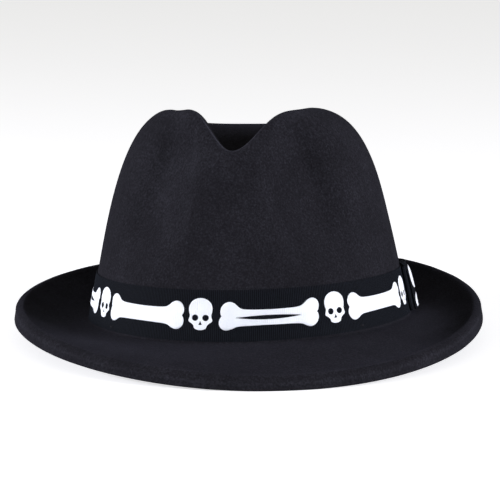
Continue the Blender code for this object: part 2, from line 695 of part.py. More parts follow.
def care_label(finish, thread):
    """A flat label that hangs straight down from a line of stitches near the top of the sweatband."""
    along = np.interp(LABEL_PLACE, ARC_PHI, ARC_LENGTH)
    top = inside(along, LABEL_TOP, SWEATBAND + GAP + LABEL_CLEAR)
    step = LABEL_WIDTH / 4
    across = inside(along + step, LABEL_TOP, 0.0) - inside(along - step, LABEL_TOP, 0.0)
    across = np.array((across[0], across[1], 0)) / np.hypot(across[0], across[1])
    inward = np.array((-across[1], across[0], 0))
    if inward @ top > 0:
        inward = -inward
    bm = bmesh.new()
    bmesh.ops.create_cube(bm, size=1)
    for vert in bm.verts:
        x, y, z = vert.co
        local = across * x * LABEL_WIDTH + inward * (y + 0.5) * LABEL
        vert.co = local + np.array((0, 0, (z - 0.5) * LABEL_DROP))
    label = add_object("care_label", bm, finish, flat=True)
    label.location = top
    shares_across = np.linspace(-0.5, 0.5, 9) * LABEL_SEAM_SHARE
    line = top + np.outer(shares_across * LABEL_WIDTH, across) - inward * LABEL_SEAM_OUT
    ring_tube("care_label_thread", line + np.array((0, 0, LABEL_SEAM_UP)), THREAD, thread, sides=1)


def main():
    clear_scene()
    felt = material("black_felt", FELT_BLACK, 0.95)
    ribbon = material("black_grosgrain", RIBBON_BLACK, 0.7)
    white = material("white_print", PRINT_WHITE, 0.55)
    strip = material("black_sweatband", STRIP_BLACK, 0.8)
    reed = material("clear_reed", REED_CLEAR, 0.3)
    thread = material("black_thread", THREAD_BLACK, 0.8)
    satin = material("black_satin", RIBBON_BLACK, 0.4)
    label = material("white_label", LABEL_WHITE, 0.5)
    felt_hood(felt)
    ribbon_band(ribbon)
    band_prints(white)
    bow(ribbon, white)
    band_tacks(thread)
    sweatband(strip, reed, thread, satin)
    size_label(label)
    care_label(label, thread)


main()
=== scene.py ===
"""A black felt snap-brim hat with a ribbon band of printed skulls and bones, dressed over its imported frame.

Lengths are in metres. Shapes are worked out in the hat's own frame, where the foot of the crown lies level,
the front is -Y, the wearer's left is +X and phi runs round the hat from 0 at the front to a quarter turn at
+X. seat() then tips the finished points the way the hat stands on a table, which is the frame's own way.
"""

import json

import bmesh
import bpy
import numpy as np
from mathutils import Matrix, Vector


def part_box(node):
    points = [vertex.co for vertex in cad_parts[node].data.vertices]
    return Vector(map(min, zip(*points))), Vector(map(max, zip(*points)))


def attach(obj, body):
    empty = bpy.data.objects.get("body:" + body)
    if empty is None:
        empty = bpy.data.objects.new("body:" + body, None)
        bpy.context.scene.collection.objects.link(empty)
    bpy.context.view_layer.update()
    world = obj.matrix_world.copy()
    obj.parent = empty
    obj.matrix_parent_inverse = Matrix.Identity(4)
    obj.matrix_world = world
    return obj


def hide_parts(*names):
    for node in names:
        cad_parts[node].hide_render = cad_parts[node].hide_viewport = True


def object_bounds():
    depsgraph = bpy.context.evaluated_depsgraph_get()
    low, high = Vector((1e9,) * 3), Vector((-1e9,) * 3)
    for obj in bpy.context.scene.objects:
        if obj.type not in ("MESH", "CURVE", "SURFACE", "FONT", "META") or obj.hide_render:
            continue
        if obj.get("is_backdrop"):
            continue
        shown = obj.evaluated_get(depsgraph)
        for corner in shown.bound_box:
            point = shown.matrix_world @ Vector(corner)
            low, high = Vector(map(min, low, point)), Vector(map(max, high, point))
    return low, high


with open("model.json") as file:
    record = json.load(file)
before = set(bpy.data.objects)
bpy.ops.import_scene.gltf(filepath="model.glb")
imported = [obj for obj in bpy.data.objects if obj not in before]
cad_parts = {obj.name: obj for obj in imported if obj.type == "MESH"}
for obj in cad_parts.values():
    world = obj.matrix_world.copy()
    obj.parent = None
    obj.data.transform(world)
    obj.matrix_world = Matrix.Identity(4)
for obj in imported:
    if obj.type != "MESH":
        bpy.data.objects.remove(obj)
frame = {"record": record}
cad_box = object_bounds()

MM = 0.001

# Studio
LEFT_POWER, RIGHT_POWER, FILL_POWER = 40.0, 37.0, 4.2
AMBIENT, FLOOR_BOUNCE, FLOOR_GLOW = 0.2, 0.45, 0.6

# Felt hood
FELT = 2.2 * MM
BASE_X, BASE_Y = 85.7 * MM, 101.6 * MM
BASE_SADDLE = 1.35 * MM
BREAK_RADIUS = 1.5 * MM
CROWN_HEIGHT, CROWN_BACK = 113.4 * MM, 99.6 * MM
CROWN_NOTCH, NOTCH_LEFT, NOTCH_RIGHT = 19.7 * MM, np.radians(17.0), np.radians(13.5)
HORN_RISE, HORN_PLACE, HORN_WIDTH = 1.2 * MM, np.radians(-25), np.radians(9)
BACK_SLOPE_START = np.radians(50)
DENT_FLOOR = 84.0 * MM
TAPER = 0.00224 / MM
CREST_SIDE, CREST_FRONT, CREST_BACK = 0.44, 0.71, 0.68
SHOULDER, SHOULDER_LIST, SHOULDER_ROUND = 5.5, 0.5, 0.42
PINCH_DEPTH, PINCH_SIDE = 10.5 * MM, 14.0 * MM
PINCH_OUT, PINCH_LEVEL, PINCH_SPREAD = 48 * MM, 92 * MM, 0.25
PINCH_FOOT, PINCH_TOP, FRONT_END = 28 * MM, 88 * MM, 0.35
LEFT_CREASE, RIGHT_CREASE, CREASE_STEP = 2.6 * MM, 1.6 * MM, 8 * MM
BRIM_X, BRIM_Y, BRIM_SET_FORWARD = 121.1 * MM, 146.8 * MM, 1.1 * MM
BRIM_RISE, BRIM_FRONT_SNAP, BRIM_SIDE_RISE = 7.6 * MM, 16.4 * MM, 1.5 * MM
BRIM_LIST, BRIM_TWIST = 4.6 * MM, 1.9 * MM
EDGE_ROLL, EDGE_DEPTH, EDGE_SLOPE, EDGE_ARC_SHARE = 3.0 * MM, 7.3 * MM, np.radians(80), 0.6

# How the hat tips to stand on a table
SEAT_TURN = Matrix.Rotation(np.radians(-3.3), 3, "X") @ Matrix.Rotation(np.radians(-2.0), 3, "Y")
SEAT_SHIFT = (0.06 * MM, 0.8 * MM, 9.3 * MM)

# Ribbon, its ribs and its prints
GAP = 0.12 * MM
RIBBON = 0.5 * MM
RIB_PITCH, RIB_DEPTH = 1.0 * MM, 0.2 * MM
BAND_LOW, BAND_HIGH, BAND_MIDDLE = 0.9 * MM, 25.9 * MM, 13.4 * MM
BAND_START, BAND_LAP, LAP_RAMP = 172 * MM, 10 * MM, 10 * MM
REPEATS = 8
SKULL_HEIGHT, BONE_HEIGHT, PRINT_START = 14.2 * MM, 13.3 * MM, -14.5 * MM
FILM = 0.1 * MM
SKULL_H, DOME_HALF, DOME_FOOT = 15.5 * MM, 6.2 * MM, 2.6 * MM
PRINT_CLEAR = 0.1 * MM
PLAIN_LENGTH, SLOTTED_LENGTH = 53.5 * MM, 51.6 * MM
BONE_LOBE, BONE_LOBE_OFFSET, BONE_SHAFT = 4.2 * MM, 2.7 * MM, 3.7 * MM
PLAIN_DROP, SLOTTED_DROP = 0.5 * MM, 0.9 * MM
SLOTTED_LEAN = 0.12
SLOT_LENGTH, SLOT_HEIGHT, SLOT_BACK = 34 * MM, 2.1 * MM, 0.8 * MM

# Bow
BOW_MIDDLE = 153 * MM
WRAP_WIDTH, WRAP_LOW, WRAP_TALL = 18 * MM, 1.5 * MM, 26.0 * MM
WRAP_TOP_OUT, WRAP_SWELL, WRAP_DROOP = 0.9 * MM, 4.1 * MM, 1.35 * MM
LOOP_INNER, LOOP_FOLD = 1.1 * MM, 0.6 * MM
FRONT_LOOP_END, REAR_LOOP_END = 140.5 * MM, 185.5 * MM
REAR_LOOP_LIFT, REAR_LOOP_RISE, REAR_SKULL_HEIGHT = 0.8 * MM, 1.7 * MM, 13.2 * MM
WRAP_SKULL_HEIGHT, WRAP_BONE_TOP, WRAP_BONE_LENGTH = 18.4 * MM, 9.4 * MM, 7.2 * MM

# Inside
SWEATBAND, SWEATBAND_LOW, SWEATBAND_HIGH = 0.8 * MM, 2.8 * MM, 29.0 * MM
REED = 0.7 * MM
THREAD = 0.2 * MM
LABEL = 0.3 * MM
INNER_BOW_HALF, INNER_BOW_HEIGHT = 11 * MM, 20 * MM
CARE_LABEL_HALF = 11 * MM


def smooth(x):
    """3x^2 - 2x^3 between 0 and 1, flat outside."""
    x = np.clip(x, 0, 1)
    return x * x * (3 - 2 * x)


def hump(x, middle, width):
    """A Gaussian of height 1."""
    return np.exp(-(((x - middle) / width) ** 2))


def stack(x, y, z):
    return np.stack(np.broadcast_arrays(x, y, z), -1)


def seat(points):
    """Turns points by the seat rotation and shifts them onto the table."""
    return points @ np.array(SEAT_TURN).T + np.array(SEAT_SHIFT)


# The felt's outer surface


def base_height(phi):
    """A saddle: minus a constant times cos 2 phi."""
    return -BASE_SADDLE * np.cos(2 * phi)


def from_front(phi):
    return (phi + np.pi) % (2 * np.pi) - np.pi


def level_crest(phi):
    """Crest height without its notch: level at the front, then an S-curve down to the back. The horn at the
    wearer's right is a little fuller on its inner side."""
    turn = from_front(phi)
    back = smooth((np.abs(turn) - BACK_SLOPE_START) / (np.pi - BACK_SLOPE_START))
    horn = HORN_RISE * hump(turn, HORN_PLACE, HORN_WIDTH)
    return CROWN_HEIGHT - (CROWN_HEIGHT - CROWN_BACK) * back + horn


def notch(phi, spread=1.0):
    """A Gaussian dip at the front, steeper on the wearer's right."""
    turn = from_front(phi)
    width = np.where(turn > 0, NOTCH_LEFT, NOTCH_RIGHT) * spread
    return CROWN_NOTCH * hump(turn, 0, width)


def crest_height(phi):
    return level_crest(phi) - notch(phi)


def crest_share(phi):
    """How far out the crest lies, as a share of the foot: side value plus (end - side) cos^2 phi."""
    c = np.cos(phi)
    end = np.where(c > 0, CREST_FRONT, CREST_BACK)
    return CREST_SIDE + (end - CREST_SIDE) * c * c


def crown_point(phi, share, height):
    """An ellipse scaled by share, raised by height, with the foot's saddle fading out over 60 mm."""
    foot = base_height(phi) * (1 - smooth(height / (60 * MM)))
    return stack(BASE_X * share * np.sin(phi), -BASE_Y * share * np.cos(phi), height + foot)


def pinch(phi, height):
    """Depth of the finger dents: deepest along a line that leans outwards as it goes down, with a long slope
    up to the nose and a short one to the side. It fades out towards the ribbon and eases at the crest."""
    line = PINCH_OUT + (PINCH_LEVEL - height) * PINCH_SPREAD
    off = np.abs(BASE_X * np.sin(phi)) - line
    nose_slope = np.clip(26 * MM - (75 * MM - height) * 0.3, 16 * MM, 27 * MM)
    fall = np.where(off < 0, np.exp(-np.abs(off / nose_slope) ** 2.4), hump(off, 0, PINCH_SIDE))
    low, high = smooth((height - PINCH_FOOT) / (40 * MM)), smooth((height - PINCH_TOP) / (22 * MM))
    return PINCH_DEPTH * fall * low * (1 - 0.45 * high) * smooth(np.cos(phi) / FRONT_END)


def nose_edge(phi, height):
    """The edge of the nose on each side: an S-shaped step back that recovers slowly. On the wearer's left it
    runs outwards and down to the ribbon; on the right it is weaker and sits higher."""
    across = BASE_X * np.sin(phi)
    left = across - 26 * MM - (54 * MM - height) * 0.48
    right = -across - 23 * MM - np.maximum(54 * MM - height, 0) * 0.8
    sides = ((left, LEFT_CREASE, 29 * MM, 66 * MM), (right, RIGHT_CREASE, 40 * MM, 96 * MM))
    total = 0
    for off, depth, low, high in sides:
        step = smooth(off / CREASE_STEP) * hump(np.maximum(off - CREASE_STEP, 0), 0, 20 * MM)
        fade = smooth((height - low) / (9 * MM)) * smooth((high - height) / (18 * MM) + 1)
        total = total + depth * step * fade
    return total * smooth(np.cos(phi) / FRONT_END)


def wrinkle(phi, height):
    """A short soft crease above the ribbon on the wearer's left: a ridge over a groove, tilted a little."""
    middle = 30.5 * MM - (np.degrees(phi) - 25) * 0.12 * MM
    off = (height - middle) / (1.5 * MM)
    window = np.exp(-(((from_front(phi) - np.radians(25)) / np.radians(9)) ** 4))
    return 0.9 * MM * window * -off * np.exp(-off * off)


def wall(phi, up):
    """The side wall: the cone's share 1 - TAPER z, drawn in to the crest's share by a power of 1 - up^n, with
    n a little larger on the wearer's left, whose shoulder is squarer."""
    height = crest_height(phi) * up
    crest = crest_share(phi)
    cone = 1 - TAPER * height
    power = SHOULDER + SHOULDER_LIST * np.sin(phi)
    share = crest + (cone - crest) * np.clip(1 - up**power, 0, 1) ** SHOULDER_ROUND
    inset = pinch(phi, height) + nose_edge(phi, height) + wrinkle(phi, height)
    return crown_point(phi, share - inset / BASE_Y, height)


def dent(phi, inward):
    """The hollow in the top: shares fall to 0 and heights follow a half cosine from the crest to the floor.
    The notch keeps its width in millimetres on the way in, so that it opens into a valley."""
    inset = pinch(phi, crest_height(phi)) + nose_edge(phi, crest_height(phi))
    start = crest_share(phi) - inset / BASE_Y
    crest = level_crest(phi) - notch(phi, 1 / np.maximum(1 - inward, 0.02))
    height = crest - (crest - DENT_FLOOR) * (1 - np.cos(np.pi * inward)) / 2
    return crown_point(phi, start * (1 - inward), height)


def ellipse_normal(phi, half_x, half_y):
    x, y = np.sin(phi) / half_x, -np.cos(phi) / half_y
    length = np.hypot(x, y)
    return x / length, y / length


def edge_crest(phi):
    """The brim's highest line near its edge: an ellipse whose height is a short cosine and sine series."""
    z = BRIM_RISE - BRIM_FRONT_SNAP * np.cos(phi) - BRIM_SIDE_RISE * np.cos(2 * phi)
    z = z - BRIM_LIST * np.sin(phi) - BRIM_TWIST * np.sin(2 * phi)
    return BRIM_X * np.sin(phi), -BRIM_SET_FORWARD - BRIM_Y * np.cos(phi), z


def edge_tangent(phi):
    """Slope at which the brim meets its rolled edge."""
    return np.radians(20.7 - 28.5 * np.cos(phi) - 7.2 * np.cos(2 * phi))


def rolled_edge(phi, along):
    """An arc of constant radius from the brim's slope over to EDGE_SLOPE down, then a straight drop."""
    start = edge_tangent(phi)
    x, y, z = edge_crest(phi)
    out_x, out_y = ellipse_normal(phi, BRIM_X, BRIM_Y)
    angle = start - (start + EDGE_SLOPE) * np.clip(along / EDGE_ARC_SHARE, 0, 1)
    crest_back = np.where(start > 0, 1 - np.cos(start), 0)
    out = EDGE_ROLL * (np.sin(start) - np.sin(angle) - np.maximum(np.sin(start), 0))
    up = EDGE_ROLL * (np.cos(angle) - np.cos(start) - crest_back)
    arc_drop = EDGE_ROLL * (np.cos(EDGE_SLOPE) - np.cos(start) - crest_back)
    past_arc = np.clip((along - EDGE_ARC_SHARE) / (1 - EDGE_ARC_SHARE), 0, 1)
    straight = (EDGE_DEPTH + arc_drop) / np.sin(EDGE_SLOPE) * past_arc
    out = out + straight * np.cos(EDGE_SLOPE)
    up = up - straight * np.sin(EDGE_SLOPE)
    return stack(x + out_x * out, y + out_y * out, z + up)


def brim_foot(phi):
    out_x, out_y = ellipse_normal(phi, BASE_X, BASE_Y)
    slope = np.tan(np.radians(-3 - 8 * np.cos(phi)))
    x = BASE_X * np.sin(phi) + BREAK_RADIUS * out_x
    y = -BASE_Y * np.cos(phi) + BREAK_RADIUS * out_y
    return stack(x, y, base_height(phi) + BREAK_RADIUS * slope), slope


def brim(phi, out):
    """Straight in plan from the break to the rolled edge; in height a cubic with both end slopes given."""
    inner, slope = brim_foot(phi)
    outer = rolled_edge(phi, np.zeros_like(phi))
    reach = np.hypot(outer[..., 0] - inner[..., 0], outer[..., 1] - inner[..., 1])
    first, last = reach * slope, reach * np.tan(edge_tangent(phi))
    z = (
        inner[..., 2] * (2 * out**3 - 3 * out**2 + 1)
        + first * (out**3 - 2 * out**2 + out)
        + outer[..., 2] * (3 * out**2 - 2 * out**3)
        + last * (out**3 - out**2)
    )
    flat = inner + (outer - inner) * out[..., None]
    return stack(flat[..., 0], flat[..., 1], z)


def break_line(phi, along):
    """The fillet between brim and crown: a quadratic curve guided by the sharp corner."""
    low, _ = brim_foot(phi)
    high = wall(phi, BREAK_RADIUS / crest_height(phi))
    corner = wall(phi, np.zeros_like(phi))
    a = along[..., None]
    return low * (1 - a) ** 2 + corner * 2 * a * (1 - a) + high * a**2


def unit(vectors):
    return vectors / np.maximum(np.linalg.norm(vectors, axis=-1, keepdims=True), 1e-12)


def run_along(points):
    """Distance from the first point, along one line or along every column of a grid."""
    steps = np.linalg.norm(np.diff(points, axis=0), axis=-1)
    return np.concatenate([np.zeros_like(steps[:1]), np.cumsum(steps, axis=0)])


def grid_normals(points, closed=False):
    """Cross product of the slopes along and across a grid of points."""
    along = np.gradient(points, axis=0)
    if closed:
        across = np.roll(points, -1, axis=1) - np.roll(points, 1, axis=1)
    else:
        across = np.gradient(points, axis=1)
    return unit(np.cross(across, along))


def handling_waves(points):
    """The soft unevenness of felt: a sum of sines along directions spread by the golden angle."""
    total = np.zeros(points.shape[:-1])
    for i in range(1, 13):
        turn, lift = i * 2.39996, np.sin(i * 1.7) * 0.6
        wave = 2 * np.pi / ((17 + 5.3 * i) * MM)
        direction = np.array([np.cos(turn) * np.cos(lift), np.sin(turn) * np.cos(lift), np.sin(lift)])
        total = total + np.sin(points @ direction * wave + i * i) * (0.5 + 0.08 * i)
    return total / 12


# Meshes


def quads(rows, columns, start=0, closed=False):
    """Corner numbers of the faces between neighbouring points of a grid."""
    r = np.arange(rows - 1)[:, None]
    c = np.arange(columns if closed else columns - 1)[None, :]
    d = (c + 1) % columns
    corners = [r * columns + c, r * columns + d, (r + 1) * columns + d, (r + 1) * columns + c]
    return (np.stack(np.broadcast_arrays(*corners), -1) + start).reshape(-1, 4)


def linked(name, data):
    """A new object in the scene, at the origin."""
    made = bpy.data.objects.new(name, data)
    bpy.context.scene.collection.objects.link(made)
    return made


def piece(name, points, faces, finish, crease, uv=None, outward=None, wear_and_highlight=None):
    """A mesh object at the origin. Its doubles are merged and its faces turned outwards: by volume on a
    closed shape, or to the side of the outward direction on an open sheet."""
    mesh = bpy.data.meshes.new(name)
    mesh.from_pydata(points.reshape(-1, 3).tolist(), [], [list(map(int, f)) for f in faces])
    if uv is not None:
        corners = np.zeros(len(mesh.loops), np.int32)
        mesh.loops.foreach_get("vertex_index", corners)
        mesh.uv_layers.new(name="weave").data.foreach_set("uv", uv.reshape(-1, 2)[corners].ravel())
    # A per-point value for the felt's colour: wear and painted highlight together.
    if wear_and_highlight is not None:
        mesh.attributes.new("edge_wear_and_highlight", "FLOAT", "POINT").data.foreach_set("value", wear_and_highlight.ravel())
    shape = bmesh.new()
    shape.from_mesh(mesh)
    bmesh.ops.remove_doubles(shape, verts=shape.verts, dist=1e-7)
    bmesh.ops.dissolve_degenerate(shape, dist=1e-8, edges=shape.edges)
    bmesh.ops.recalc_face_normals(shape, faces=shape.faces)
    if outward is not None:
        total = sum((f.normal * f.calc_area() for f in shape.faces), Vector())
        if total.dot(Vector(outward)) < 0:
            bmesh.ops.reverse_faces(shape, faces=shape.faces)
    shape.to_mesh(mesh)
    shape.free()
    mesh.shade_smooth()
    if crease:
        mesh.set_sharp_from_angle(angle=np.radians(crease))
    mesh.materials.append(finish)
    return linked(name, mesh)


def dress(made, slot, *nodes, body="hat"):
    """Hangs a piece from the body it rides on and hides the plain solids it stands for. Its finish slot is
    not used.
    """
    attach(made, body)
    if nodes:
        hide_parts(*nodes)
    return made


def shell(name, front, back, finish, uv, crease=40):
    """A solid between two grids of points of the same size, with a rim joining their borders."""
    rows, columns = front.shape[:2]
    count = rows * columns
    faces = [quads(rows, columns), quads(rows, columns, count)]
    numbers = np.arange(count).reshape(rows, columns)
    for edge in (numbers[0], numbers[-1], numbers[:, 0], numbers[:, -1]):
        here, following = edge[:-1], edge[1:]
        faces.append(np.stack([here, following, following + count, here + count], -1))
    points = np.concatenate([front.reshape(-1, 3), back.reshape(-1, 3)])
    return piece(name, points, np.concatenate(faces), finish, crease, uv=np.concatenate([uv, uv]))


def tubes(name, lines, radius, finish, sides=8, ply=0.0, twist=0.0):
    """Round threads along lines of points, one tube each, with pointed ends. The radius swells by ply times
    cos(2 angle - twist length), which lays two strands round each other."""
    lines = np.asarray(lines)
    ahead = unit(np.gradient(lines, axis=1))
    guide = np.array([0.13, 0.21, 0.97])
    side = unit(np.cross(ahead, guide))
    up = np.cross(side, ahead)
    run = run_along(lines.swapaxes(0, 1)).T
    end = np.minimum(run, run[:, -1:] - run)
    taper = np.sqrt(np.clip(end / radius, 0, 1))
    angle = np.linspace(0, 2 * np.pi, sides, endpoint=False)
    size = radius * taper[..., None] * (1 + ply * np.cos(2 * angle - twist * run[..., None]))
    ring = side[:, :, None] * np.cos(angle)[:, None] + up[:, :, None] * np.sin(angle)[:, None]
    points = lines[:, :, None] + ring * size[..., None]
    count, rows = len(lines), lines.shape[1]
    one = quads(rows, sides, 0, True)
    faces = (one[None] + (np.arange(count) * rows * sides)[:, None, None]).reshape(-1, 4)
    return piece(name, points, faces, finish, crease=0)


# Places on the crown's wall


def arc_table():
    """Distance along the band's middle line, tabled against phi over two turns each way."""
    phi = np.linspace(-2 * np.pi, 2 * np.pi, 2881)
    length = run_along(wall(phi, BAND_MIDDLE / crest_height(phi)))
    return phi, length - np.interp(0, phi, length)


ARC_PHI, ARC_LENGTH = arc_table()
GIRTH = np.interp(2 * np.pi, ARC_PHI, ARC_LENGTH)


def phi_at(along):
    turns = np.floor(along / GIRTH)
    return np.interp(along - turns * GIRTH, ARC_LENGTH, ARC_PHI) + turns * 2 * np.pi


def on_wall(along, height, out):
    """The place at a distance out from the felt's outer face, along the wall's normal."""
    along, height, out = np.broadcast_arrays(along, height, out)
    phi = phi_at(along)
    step, turn = 0.5 * MM, 0.004
    here = wall(phi, height / crest_height(phi))
    up = wall(phi, (height + step) / crest_height(phi)) - here
    side = wall(phi + turn, height / crest_height(phi + turn)) - here
    return here + unit(np.cross(side, up)) * out[..., None]


def outside(along, height, out):
    return on_wall(along, height, GAP + out)


def inside(along, height, inward):
    return on_wall(along, height, -(FELT + 0.3 * MM + inward))


def rib(along):
    """Height of the ribbon's ribs: |sin| with one rounded rib for each pitch."""
    return RIB_DEPTH * np.abs(np.sin(np.pi * along / RIB_PITCH))


# Finishes


def node(tree, kind, inputs=(), **settings):
    made = tree.nodes.new(kind)
    for name, value in settings.items():
        setattr(made, name, value)
    for socket, value in dict(inputs).items():
        if isinstance(value, bpy.types.NodeSocket):
            tree.links.new(value, made.inputs[socket])
        else:
            made.inputs[socket].default_value = value
    return made


def group(name, vector, numbers):
    """A group fed by one vector and by numbers with their usual values. It gives a shade and a height."""
    made = bpy.data.node_groups.new(name, "ShaderNodeTree")
    made.interface.new_socket(vector, in_out="INPUT", socket_type="NodeSocketVector")
    for socket, value in numbers.items():
        added = made.interface.new_socket(socket, in_out="INPUT", socket_type="NodeSocketFloat")
        added.default_value = value
    for socket in ("Shade", "Height"):
        made.interface.new_socket(socket, in_out="OUTPUT", socket_type="NodeSocketFloat")
    return made, node(made, "NodeGroupInput").outputs, node(made, "NodeGroupOutput").inputs


def calc(tree, operation, *values):
    return node(tree, "ShaderNodeMath", dict(enumerate(values)), operation=operation).outputs[0]


def add(tree, a, b, scale=1.0):
    """a + b * scale."""
    return calc(tree, "MULTIPLY_ADD", b, scale, a)


def object_place(tree):
    return node(tree, "ShaderNodeTexCoord").outputs["Object"]


def noise(tree, where, scale, detail, **more):
    inputs = {"Vector": where, "Scale": scale, "Detail": detail, **more}
    return node(tree, "ShaderNodeTexNoise", inputs).outputs[0]


def felt_nap_group():
    """Matted wool: soft clouds, pilled mottling and two layers of stretched fibres, as shade and height."""
    tree, given, result = group("felt_nap", "Vector", {"Cloud Scale": 38.0, "Fibre Scale": 1500.0})
    where = given["Vector"]
    cloud = noise(tree, where, given["Cloud Scale"], 2.0)
    mottle = noise(tree, where, 950.0, 3.0, Roughness=0.55)
    shade, height = add(tree, calc(tree, "MULTIPLY", cloud, 0.35), mottle, 0.9), mottle
    for turn, stretch in (((0.3, 0.7, 0.2), (1.0, 0.22, 0.45)), ((1.1, 0.1, 1.4), (0.3, 1.0, 0.25))):
        turned = node(tree, "ShaderNodeMapping", {"Vector": where, "Rotation": turn, "Scale": stretch})
        fibres = noise(tree, turned.outputs[0], given["Fibre Scale"], 3.0, Roughness=0.65, Distortion=1.4)
        shade = add(tree, shade, fibres, 0.5)
        height = add(tree, height, fibres, 0.9)
    spread = node(tree, "ShaderNodeMapRange", {"Value": shade, "From Min": 0.75, "From Max": 1.69})
    tree.links.new(spread.outputs[0], result["Shade"])
    tree.links.new(height, result["Height"])


def weave_group():
    """Threads crossing at right angles on a UV map in metres: warp and weft waves with slubs between them.
    The pitches are in millimetres."""
    tree, given, result = group("crossed_threads", "UV", {"Along": 0.5, "Across": 0.25, "Slub": 0.4})
    parts = node(tree, "ShaderNodeSeparateXYZ", {"Vector": given["UV"]}).outputs
    waves = []
    for axis, pitch in ((0, "Along"), (1, "Across")):
        turns = calc(tree, "DIVIDE", parts[axis], given[pitch])
        sine = calc(tree, "SINE", calc(tree, "MULTIPLY", turns, np.pi / MM))
        waves.append(calc(tree, "ABSOLUTE", sine))
    slub = calc(tree, "MULTIPLY", noise(tree, given["UV"], 900.0, 4.0), given["Slub"])
    total = calc(tree, "ADD", calc(tree, "MULTIPLY", *waves), slub)
    for socket in ("Shade", "Height"):
        tree.links.new(total, result[socket])


def finish(name, roughness, specular, sheen=0.0, sheen_tint=(1, 1, 1, 1)):
    made = bpy.data.materials.new(name)
    made.use_nodes = True
    shader = made.node_tree.nodes["Principled BSDF"]
    shader.inputs["Roughness"].default_value = roughness
    shader.inputs["Specular IOR Level"].default_value = specular
    shader.inputs["Sheen Weight"].default_value = sheen
    shader.inputs["Sheen Roughness"].default_value = 0.45
    shader.inputs["Sheen Tint"].default_value = sheen_tint
    return made, made.node_tree, shader


def colour_ramp(tree, value, stops):
    ramp = node(tree, "ShaderNodeValToRGB", {"Fac": value})
    first, last = ramp.color_ramp.elements
    (first.position, first.color), (last.position, last.color) = stops[0], stops[-1]
    for place, colour in stops[1:-1]:
        ramp.color_ramp.elements.new(place).color = colour
    return ramp.outputs["Color"]


def paint(tree, shader, value, stops):
    tree.links.new(colour_ramp(tree, value, stops), shader.inputs["Base Color"])


def bump(tree, shader, height, distance, strength=1.0):
    made = node(tree, "ShaderNodeBump", {"Height": height, "Distance": distance, "Strength": strength})
    tree.links.new(made.outputs[0], shader.inputs["Normal"])


def black_felt():
    tint = (0.7, 0.7, 1, 1)
    made, tree, shader = finish("black_felt", roughness=0.95, specular=0.02, sheen=0.015, sheen_tint=tint)
    where = object_place(tree)
    nap = node(tree, "ShaderNodeGroup", node_tree=bpy.data.node_groups["felt_nap"])
    tree.links.new(where, nap.inputs["Vector"])
    # The edge value lightens the colour: worn nap together with a painted highlight on the lip, the horns and
    # the brim lines.
    worn_and_highlight = node(tree, "ShaderNodeAttribute", attribute_name="edge_wear_and_highlight").outputs["Fac"]
    shade = add(tree, nap.outputs["Shade"], worn_and_highlight, 0.64)
    stops = [
        (0.0, (0.0062, 0.006, 0.0074, 1)),
        (0.4, (0.0135, 0.0131, 0.0160, 1)),
        (0.75, (0.026, 0.0256, 0.032, 1)),
        (1.0, (0.046, 0.0465, 0.058, 1)),
    ]
    paint(tree, shader, shade, stops)
    bump(tree, shader, nap.outputs["Height"], 0.25 * MM, 0.7)
    return made


def woven(name, stops, along, across, depth, roughness, specular, sheen, tint=(0.8, 0.85, 1, 1)):
    made, tree, shader = finish(name, roughness=roughness, specular=specular, sheen=sheen, sheen_tint=tint)
    threads = node(tree, "ShaderNodeGroup", node_tree=bpy.data.node_groups["crossed_threads"])
    tree.links.new(node(tree, "ShaderNodeUVMap", uv_map="weave").outputs[0], threads.inputs["UV"])
    threads.inputs["Along"].default_value = along
    threads.inputs["Across"].default_value = across
    paint(tree, shader, threads.outputs["Shade"], stops)
    bump(tree, shader, threads.outputs["Height"], depth)
    return made


def white_print():
    """Flat white ink with the cloth's grain showing through and a few thin spots."""
    made, tree, shader = finish("white_print", roughness=0.6, specular=0.3)
    where = object_place(tree)
    grain = noise(tree, where, 1400.0, 3.0)
    total = add(tree, noise(tree, where, 120.0, 2.0), grain, 0.7)
    stops = [(0.45, (0.78, 0.80, 0.84, 1)), (0.85, (0.86, 0.885, 0.925, 1)), (1.0, (0.88, 0.905, 0.94, 1))]
    paint(tree, shader, total, stops)
    bump(tree, shader, grain, 0.05 * MM)
    return made


def speckled(name, low, high, scale, roughness, specular):
    made, tree, shader = finish(name, roughness, specular)
    grain = noise(tree, object_place(tree), scale, 4.0)
    paint(tree, shader, grain, [(0.3, low), (0.7, high)])
    bump(tree, shader, grain, 0.05 * MM)
    return made


felt_nap_group()
weave_group()
FELT_FINISH = black_felt()
RIBBON_FINISH = woven(
    "black_grosgrain",
    [
        (0.1, (0.0004, 0.0005, 0.0008, 1)),
        (0.6, (0.0028, 0.0034, 0.0052, 1)),
        (1.0, (0.011, 0.0135, 0.019, 1)),
    ],
    along=1.0, across=0.22, depth=0.05 * MM, roughness=0.75, specular=0.06, sheen=0.0,
)
SWEATBAND_FINISH = woven(
    "black_sweatband",
    [(0.1, (0.008, 0.008, 0.009, 1)), (1.0, (0.03, 0.03, 0.033, 1))],
    along=0.45, across=0.45, depth=0.06 * MM, roughness=0.85, specular=0.2, sheen=0.2,
)
SATIN_FINISH = woven(
    "black_satin",
    [(0.1, (0.01, 0.01, 0.013, 1)), (1.0, (0.028, 0.03, 0.036, 1))],
    along=0.9, across=0.08, depth=0.015 * MM, roughness=0.32, specular=0.6, sheen=0.2,
)
LABEL_FINISH = woven(
    "white_label",
    [(0.1, (0.62, 0.62, 0.6, 1)), (1.0, (0.8, 0.8, 0.78, 1))],
    along=0.3, across=0.3, depth=0.03 * MM, roughness=0.6, specular=0.3, sheen=0.1, tint=(1, 1, 1, 1),
)
PRINT_FINISH = white_print()
REED_FINISH = speckled("clear_reed", (0.2, 0.21, 0.225, 1), (0.3, 0.31, 0.33, 1), 300.0, 0.3, 0.4)
THREAD_FINISH = speckled("black_thread", (0.004, 0.004, 0.005, 1), (0.016, 0.016, 0.02, 1), 3500.0, 0.8, 0.2)


# Felt hood


EDGE_ROWS, BRIM_ROWS, BREAK_ROWS, WALL_ROWS, DENT_ROWS = 20, 24, 6, 56, 36


def shares(count):
    return np.linspace(0, 1, count + 1)[:-1]


